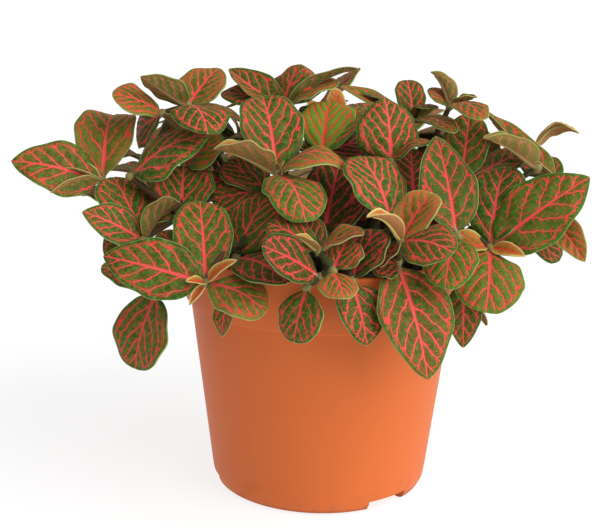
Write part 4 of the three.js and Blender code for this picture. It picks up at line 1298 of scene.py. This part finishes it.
POT_ROUGHNESS = (0.46, 0.12, 0.2)
POT_RELIEF = (0.5, 0.4)
FOOT_SHADE_HEIGHTS = (0.0005, 0.003)
POT_BUMP = (0.25, 0.0002)
PEAT_DARK = (0.012, 0.007, 0.004)
PEAT_BROWN = (0.060, 0.034, 0.019)
PEAT_FIBRE = (0.15, 0.09, 0.05)
PEAT_CLUMPS = (260.0, 4.0)
PEAT_FIBRES = (1100.0, 3.0)
PEAT_BUMP = (1.0, 0.0012)
PEAT_ROUGHNESS = 0.9
BROWN_PEAT = (0.35, 0.7)
FIBRE_EDGE = (0.62, 0.75)
FIBRE_COVER = 0.5
FIBRE_RELIEF = 0.5


def make_stem_finish():
    """Dark green and brown stem, with tan stalks, cream knots and cream hairs."""
    look = Finish("nerve_stem", Specular_IOR_Level=0.2)
    young, under, hair = look.attribute("tint")
    patch = look.noise(look.place(), *STEM_PATCHES)
    colour = look.layers(
        STEM_GREEN, (patch.rise(*STEM_BROWN_PATCHES), STEM_BROWN),
        (under * STALK_COVER, STALK_TAN), (young, KNOT_CREAM), (hair * HAIR_COVER, HAIR_CREAM),
    )
    specks = look.noise(look.place(), *STEM_SPECKS)
    roughness = STEM_ROUGHNESS[0] + patch * STEM_ROUGHNESS[1]
    return look.coat(colour, roughness, specks, STEM_BUMP)


def make_pot_finish():
    """Matt moulded plastic in a terracotta colour, with faint streaks, dust near the foot, and painted
    shade darkening the lowest few millimetres where it stands on the floor.
    """
    look = Finish("terracotta_plastic", Specular_IOR_Level=0.24)
    place = look.place()
    x, y, z = look.split(place)
    cloud = look.noise(place, *POT_CLOUDS)
    streak_place = look.vector(x * STREAK_ACROSS, y * STREAK_ACROSS, z * STREAK_UP)
    streak = look.noise(streak_place, 1.0, STREAK_DETAIL)
    dust = (1 - z.rise(0.0, DUST_HEIGHT)) * look.noise(place, *POT_SPECKS).rise(*DUST_EDGE)
    colour = look.layers(
        POT_TERRACOTTA, (cloud, POT_BRIGHT),
        (streak.rise(*STREAK_EDGE) * STREAK_COVER, POT_STREAK), (dust * DUST_COVER, POT_DUST),
        # Painted shade: the lowest three millimetres darkened where the pot meets the floor.
        ((1 - z.rise(*FOOT_SHADE_HEIGHTS)) * FOOT_SHADE_COVER, POT_FOOT_SHADE),
    )
    base, *gains = POT_ROUGHNESS
    height = weigh(POT_RELIEF, look.noise(place, *POT_GRAIN), streak)
    return look.coat(colour, base + weigh(gains, cloud, dust), height, POT_BUMP)


def make_soil_finish():
    """Dark damp peat."""
    look = Finish("potting_soil")
    clump = look.noise(look.place(), *PEAT_CLUMPS)
    fibre = look.noise(look.place(), *PEAT_FIBRES)
    colour = look.layers(
        PEAT_DARK, (clump.rise(*BROWN_PEAT), PEAT_BROWN),
        (fibre.rise(*FIBRE_EDGE) * FIBRE_COVER, PEAT_FIBRE),
    )
    return look.coat(colour, PEAT_ROUGHNESS, clump + fibre * FIBRE_RELIEF, PEAT_BUMP)


# Pot: the rounds and the step are offsets, out and up
POT_STEPS = 144
LIP_ROUND = 0.7
ROUND_SEGMENTS = 3
FOOT_ROUND = ((-1, 0), (0, 0.1), (1.8, 0.9), (2.9, 3.0))
CORNER_ROUND = ((0, 0), (0.2, 1.5))
BAND_STEP = ((0, -0.3), (0.3, 0), (1.8, 0.5), (2.2, 0.9))
BAND_FOOT_RISE = 0.4
HOLLOW_CORNER_WIDTH = 4
HOLLOW_CORNER_HEIGHT = 5
DRAIN_SIDES = 32
SHARP_ANGLE = math.radians(28)


def spin_profile(profile, steps, name):
    """A closed round body from a profile of (radius, height) points that starts and ends on the axis."""
    bm = bmesh.new()
    points = [bm.verts.new((radius * MM, 0, height * MM)) for radius, height in profile]
    lines = [bm.edges.new(pair) for pair in zip(points, points[1:])]
    bmesh.ops.spin(
        bm, geom=points + lines, axis=(0, 0, 1), cent=(0, 0, 0), angle=2 * math.pi,
        steps=steps, use_merge=True,
    )
    bmesh.ops.remove_doubles(bm, verts=bm.verts[:], dist=1e-6)
    bmesh.ops.recalc_face_normals(bm, faces=bm.faces[:])
    return make_mesh(bm, name)


def points_by(radius, height, offsets):
    """Profile points at offsets, out and up, from one point."""
    return [(radius + out, height + up) for out, up in offsets]


def pot_profile():
    """The pot's outline from the middle of its foot, over the lip, to the middle of its floor."""
    inner_foot = CORNER_RADIUS - WALL
    rim_inside = RIM_RADIUS - WALL
    turns = [math.pi / 2 * step / ROUND_SEGMENTS for step in range(ROUND_SEGMENTS + 1)]
    lip = points_by(
        RIM_RADIUS - LIP_ROUND, POT_HEIGHT - LIP_ROUND,
        [(LIP_ROUND * math.cos(turn), LIP_ROUND * math.sin(turn)) for turn in turns],
    )
    inside_lip = [(RIM_RADIUS + rim_inside - radius, height) for radius, height in reversed(lip)]
    return [
        (0, 0), *points_by(FOOT_RADIUS, 0, FOOT_ROUND),
        *points_by(CORNER_RADIUS, CORNER_HEIGHT, CORNER_ROUND),
        *points_by(BODY_TOP_RADIUS, BODY_TOP_HEIGHT, BAND_STEP),
        (BAND_FOOT_RADIUS, BAND_FOOT_HEIGHT + BAND_FOOT_RISE), *lip, *inside_lip,
        (BAND_FOOT_RADIUS - WALL, BAND_FOOT_HEIGHT), (BODY_TOP_RADIUS - WALL, BODY_TOP_HEIGHT),
        (inner_foot, FLOOR_THICKNESS + HOLLOW_CORNER_HEIGHT),
        (inner_foot - HOLLOW_CORNER_WIDTH, FLOOR_THICKNESS), (0, FLOOR_THICKNESS),
    ]


def make_cutters():
    """The three channels under the foot and the drain at each."""
    bm = bmesh.new()
    long = RIM_RADIUS - CHANNEL_INNER_END
    for heading in CHANNEL_HEADINGS:
        turn = Matrix.Rotation(math.radians(heading), 4, "Z")
        middle = Matrix.Translation(((CHANNEL_INNER_END + long / 2) * MM, 0, 0))
        sizes = Matrix.Diagonal((long * MM, CHANNEL_WIDTH * MM, 2 * CHANNEL_DEPTH * MM, 1))
        bmesh.ops.create_cube(bm, size=1, matrix=turn @ middle @ sizes)
        drain = Matrix.Translation((DRAIN_DISTANCE * MM, 0, 0))
        bmesh.ops.create_cone(
            bm, cap_ends=True, segments=DRAIN_SIDES, radius1=DRAIN_RADIUS * MM,
            radius2=DRAIN_RADIUS * MM, depth=3 * FLOOR_THICKNESS * MM, matrix=turn @ drain,
        )
    return add_object("foot_cutters", make_mesh(bm, "foot_cutters"))


def make_pot(finish):
    body = add_object("pot_body", spin_profile(pot_profile(), POT_STEPS, "pot_body"))
    cutters = make_cutters()
    cut = body.modifiers.new("channels", "BOOLEAN")
    cut.operation = "DIFFERENCE"
    cut.solver = "EXACT"
    cut.use_self = True
    cut.object = cutters
    seen = body.evaluated_get(bpy.context.evaluated_depsgraph_get())
    mesh = bpy.data.meshes.new_from_object(seen)
    mesh.name = "grower_pot"
    bpy.data.objects.remove(body)
    bpy.data.objects.remove(cutters)
    mesh.materials.clear()
    mesh.materials.append(finish)
    mesh.shade_smooth()
    mesh.set_sharp_from_angle(angle=SHARP_ANGLE)
    return show(mesh, "pot", "pot")


# Soil
SOIL_RINGS = 26
SOIL_STEPS = 96
SOIL_LUMPS = (-0.9, 0.3)
SOIL_PLAIN_EDGE = 0.5
SOIL_SLACK = 0.01
SOIL_SEED = 511
CRUMBS = 420
CRUMB_SIZES = (0.5, 1.7)
CRUMB_SPREAD = 0.94
CRUMB_TURNS = (0, 3)
CRUMB_WIDTHS = (0.5, 1)
CRUMB_HEIGHTS = (0.4, 0.8)
BAND_SHARE = (SOIL_TOP - BAND_FOOT_HEIGHT) / (POT_HEIGHT - BAND_FOOT_HEIGHT)
SOIL_EDGE = BAND_FOOT_RADIUS + (RIM_RADIUS - BAND_FOOT_RADIUS) * BAND_SHARE - WALL - GAP


def soil_height(radius):
    """The height of the crowned soil at a distance from its middle."""
    return SOIL_TOP + SOIL_CROWN * (1 - (radius / SOIL_EDGE) ** 2)


def soil_profile():
    """The soil's outline: it fills the pot up to the crowned top, but for a gap."""
    foot_radius = CORNER_RADIUS - WALL - GAP
    foot_height = FLOOR_THICKNESS + GAP
    radii = [SOIL_EDGE * (1 - ring / SOIL_RINGS) for ring in range(SOIL_RINGS + 1)]
    return [
        (0, foot_height), (foot_radius - HOLLOW_CORNER_WIDTH, foot_height),
        (foot_radius, foot_height + HOLLOW_CORNER_HEIGHT),
        (BODY_TOP_RADIUS - WALL - GAP, BODY_TOP_HEIGHT),
        (BAND_FOOT_RADIUS - WALL - GAP, BAND_FOOT_HEIGHT),
        *((radius, soil_height(radius)) for radius in radii),
    ]


def add_crumb(bm, draw):
    """A crumb of peat somewhere on the soil."""
    radius = SOIL_EDGE * math.sqrt(draw(0, CRUMB_SPREAD))
    angle = draw(0, 2 * math.pi)
    size = draw(*CRUMB_SIZES) * MM
    middle = Vector((radius * math.cos(angle), radius * math.sin(angle), soil_height(radius)))
    spin = Matrix.Rotation(draw(*CRUMB_TURNS), 4, (draw(-1, 1), draw(-1, 1), 1))
    sizes = Matrix.Diagonal((size, size * draw(*CRUMB_WIDTHS), size * draw(*CRUMB_HEIGHTS), 1))
    place = Matrix.Translation(middle * MM) @ spin @ sizes
    bmesh.ops.create_icosphere(bm, subdivisions=1, radius=1, matrix=place)


def make_soil(finish):
    """The soil: a crowned lumpy surface strewn with crumbs, on a body that fills the pot."""
    draw = make_random(SOIL_SEED)
    mesh = spin_profile(soil_profile(), SOIL_STEPS, "peat")
    bm = bmesh.new()
    bm.from_mesh(mesh)
    for vert in bm.verts:
        inner = math.hypot(vert.co.x, vert.co.y) / MM < SOIL_EDGE - SOIL_PLAIN_EDGE
        if inner and vert.co.z > (SOIL_TOP - SOIL_SLACK) * MM:
            vert.co.z += draw(*SOIL_LUMPS) * MM
    for _ in range(CRUMBS):
        add_crumb(bm, draw)
    bm.to_mesh(mesh)
    bm.free()
    mesh.materials.append(finish)
    return show(mesh, "soil", "soil")


# Camera, floor and light
CLIP_END = 10
FLOOR_SIZE = 20
FLOOR_GREYS = ((0.25, 0.25, 0.25), (0.27, 0.27, 0.27))
FLOOR_GLOW = 0.80
FLOOR_CLOUDS = 3.0
FLOOR_BUMP = (0.02, 0.001)
FLOOR_ROUGHNESS = 0.9
WHITE = (1, 1, 1)
WORLD_STRENGTH = 0.47
KEY_PLACE = (1.0, -0.55, 0.85)
KEY_STRENGTH = 3.0
KEY_ANGLE = 60


def set_camera():
    """The photograph's view."""
    camera_data = bpy.data.cameras.new("camera")
    camera_data.sensor_width = SENSOR_WIDTH
    camera_data.lens = VIEW_FOCAL * SENSOR_WIDTH / PICTURE_WIDTH
    camera_data.clip_end = CLIP_END
    camera = add_object("camera", camera_data)
    turn = Matrix((VIEW_RIGHT, VIEW_UP, VIEW_BACK)).transposed().to_4x4()
    roll = Matrix.Rotation(VIEW_ROLL, 4, "Z")
    camera.matrix_world = Matrix.Translation(Vector(VIEW_EYE) * MM) @ turn @ roll
    bpy.context.scene.camera = camera


def add_key_light():
    """A broad sun that shines from the right."""
    data = bpy.data.lights.new("key", "SUN")
    data.angle = math.radians(KEY_ANGLE)
    data.energy = KEY_STRENGTH
    place = Vector(KEY_PLACE)
    aim = place - Vector(VIEW_TARGET) * MM
    turn = aim.to_track_quat("Z", "Y").to_matrix().to_4x4()
    add_object("key", data).matrix_world = Matrix.Translation(place) @ turn


def set_studio():
    """A plain white floor and soft light, stronger from the right."""
    bm = bmesh.new()
    bmesh.ops.create_grid(bm, x_segments=1, y_segments=1, size=FLOOR_SIZE)
    floor = add_object("studio_floor", make_mesh(bm, "studio_floor"))
    look = Finish(
        "studio_white", Specular_IOR_Level=0.0, Emission_Color=WHITE, Emission_Strength=FLOOR_GLOW
    )
    cloud = look.noise(look.place(), FLOOR_CLOUDS)
    grey = look.layers(FLOOR_GREYS[0], (cloud, FLOOR_GREYS[1]))
    floor.data.materials.append(look.coat(grey, FLOOR_ROUGHNESS, cloud, FLOOR_BUMP))
    world = bpy.data.worlds.new("studio")
    world.use_nodes = True
    sky = world.node_tree.nodes["Background"].inputs
    sky["Color"].default_value = (*WHITE, 1)
    sky["Strength"].default_value = WORLD_STRENGTH
    bpy.context.scene.world = world
    add_key_light()
    bpy.context.scene.view_settings.view_transform = "Standard"


stem_draw = make_random(FINE_SEED)
shared_forms = {
    "front_sheet": make_sheet_form(*FRONT_GRID),
    "back_sheet": make_sheet_form(*BACK_GRID),
    "small_sheet": make_sheet_form(*SMALL_GRID),
    "keel": make_rod_form(KEEL_SIDES, KEEL_CUTS),
    "rod": make_rod_form(ROD_SIDES, ROD_CUTS),
    "knot": make_knot_form(),
    "hair": make_rod_form(HAIR_SIDES, tip=HAIR_TIP),
}
leafy_finishes = [LeafFinish().make(), make_stem_finish()]
for leafy_stem in stems:
    make_stem(leafy_stem, shared_forms, stem_draw, leafy_finishes)
make_pot(make_pot_finish())
make_soil(make_soil_finish())
set_camera()
set_studio()
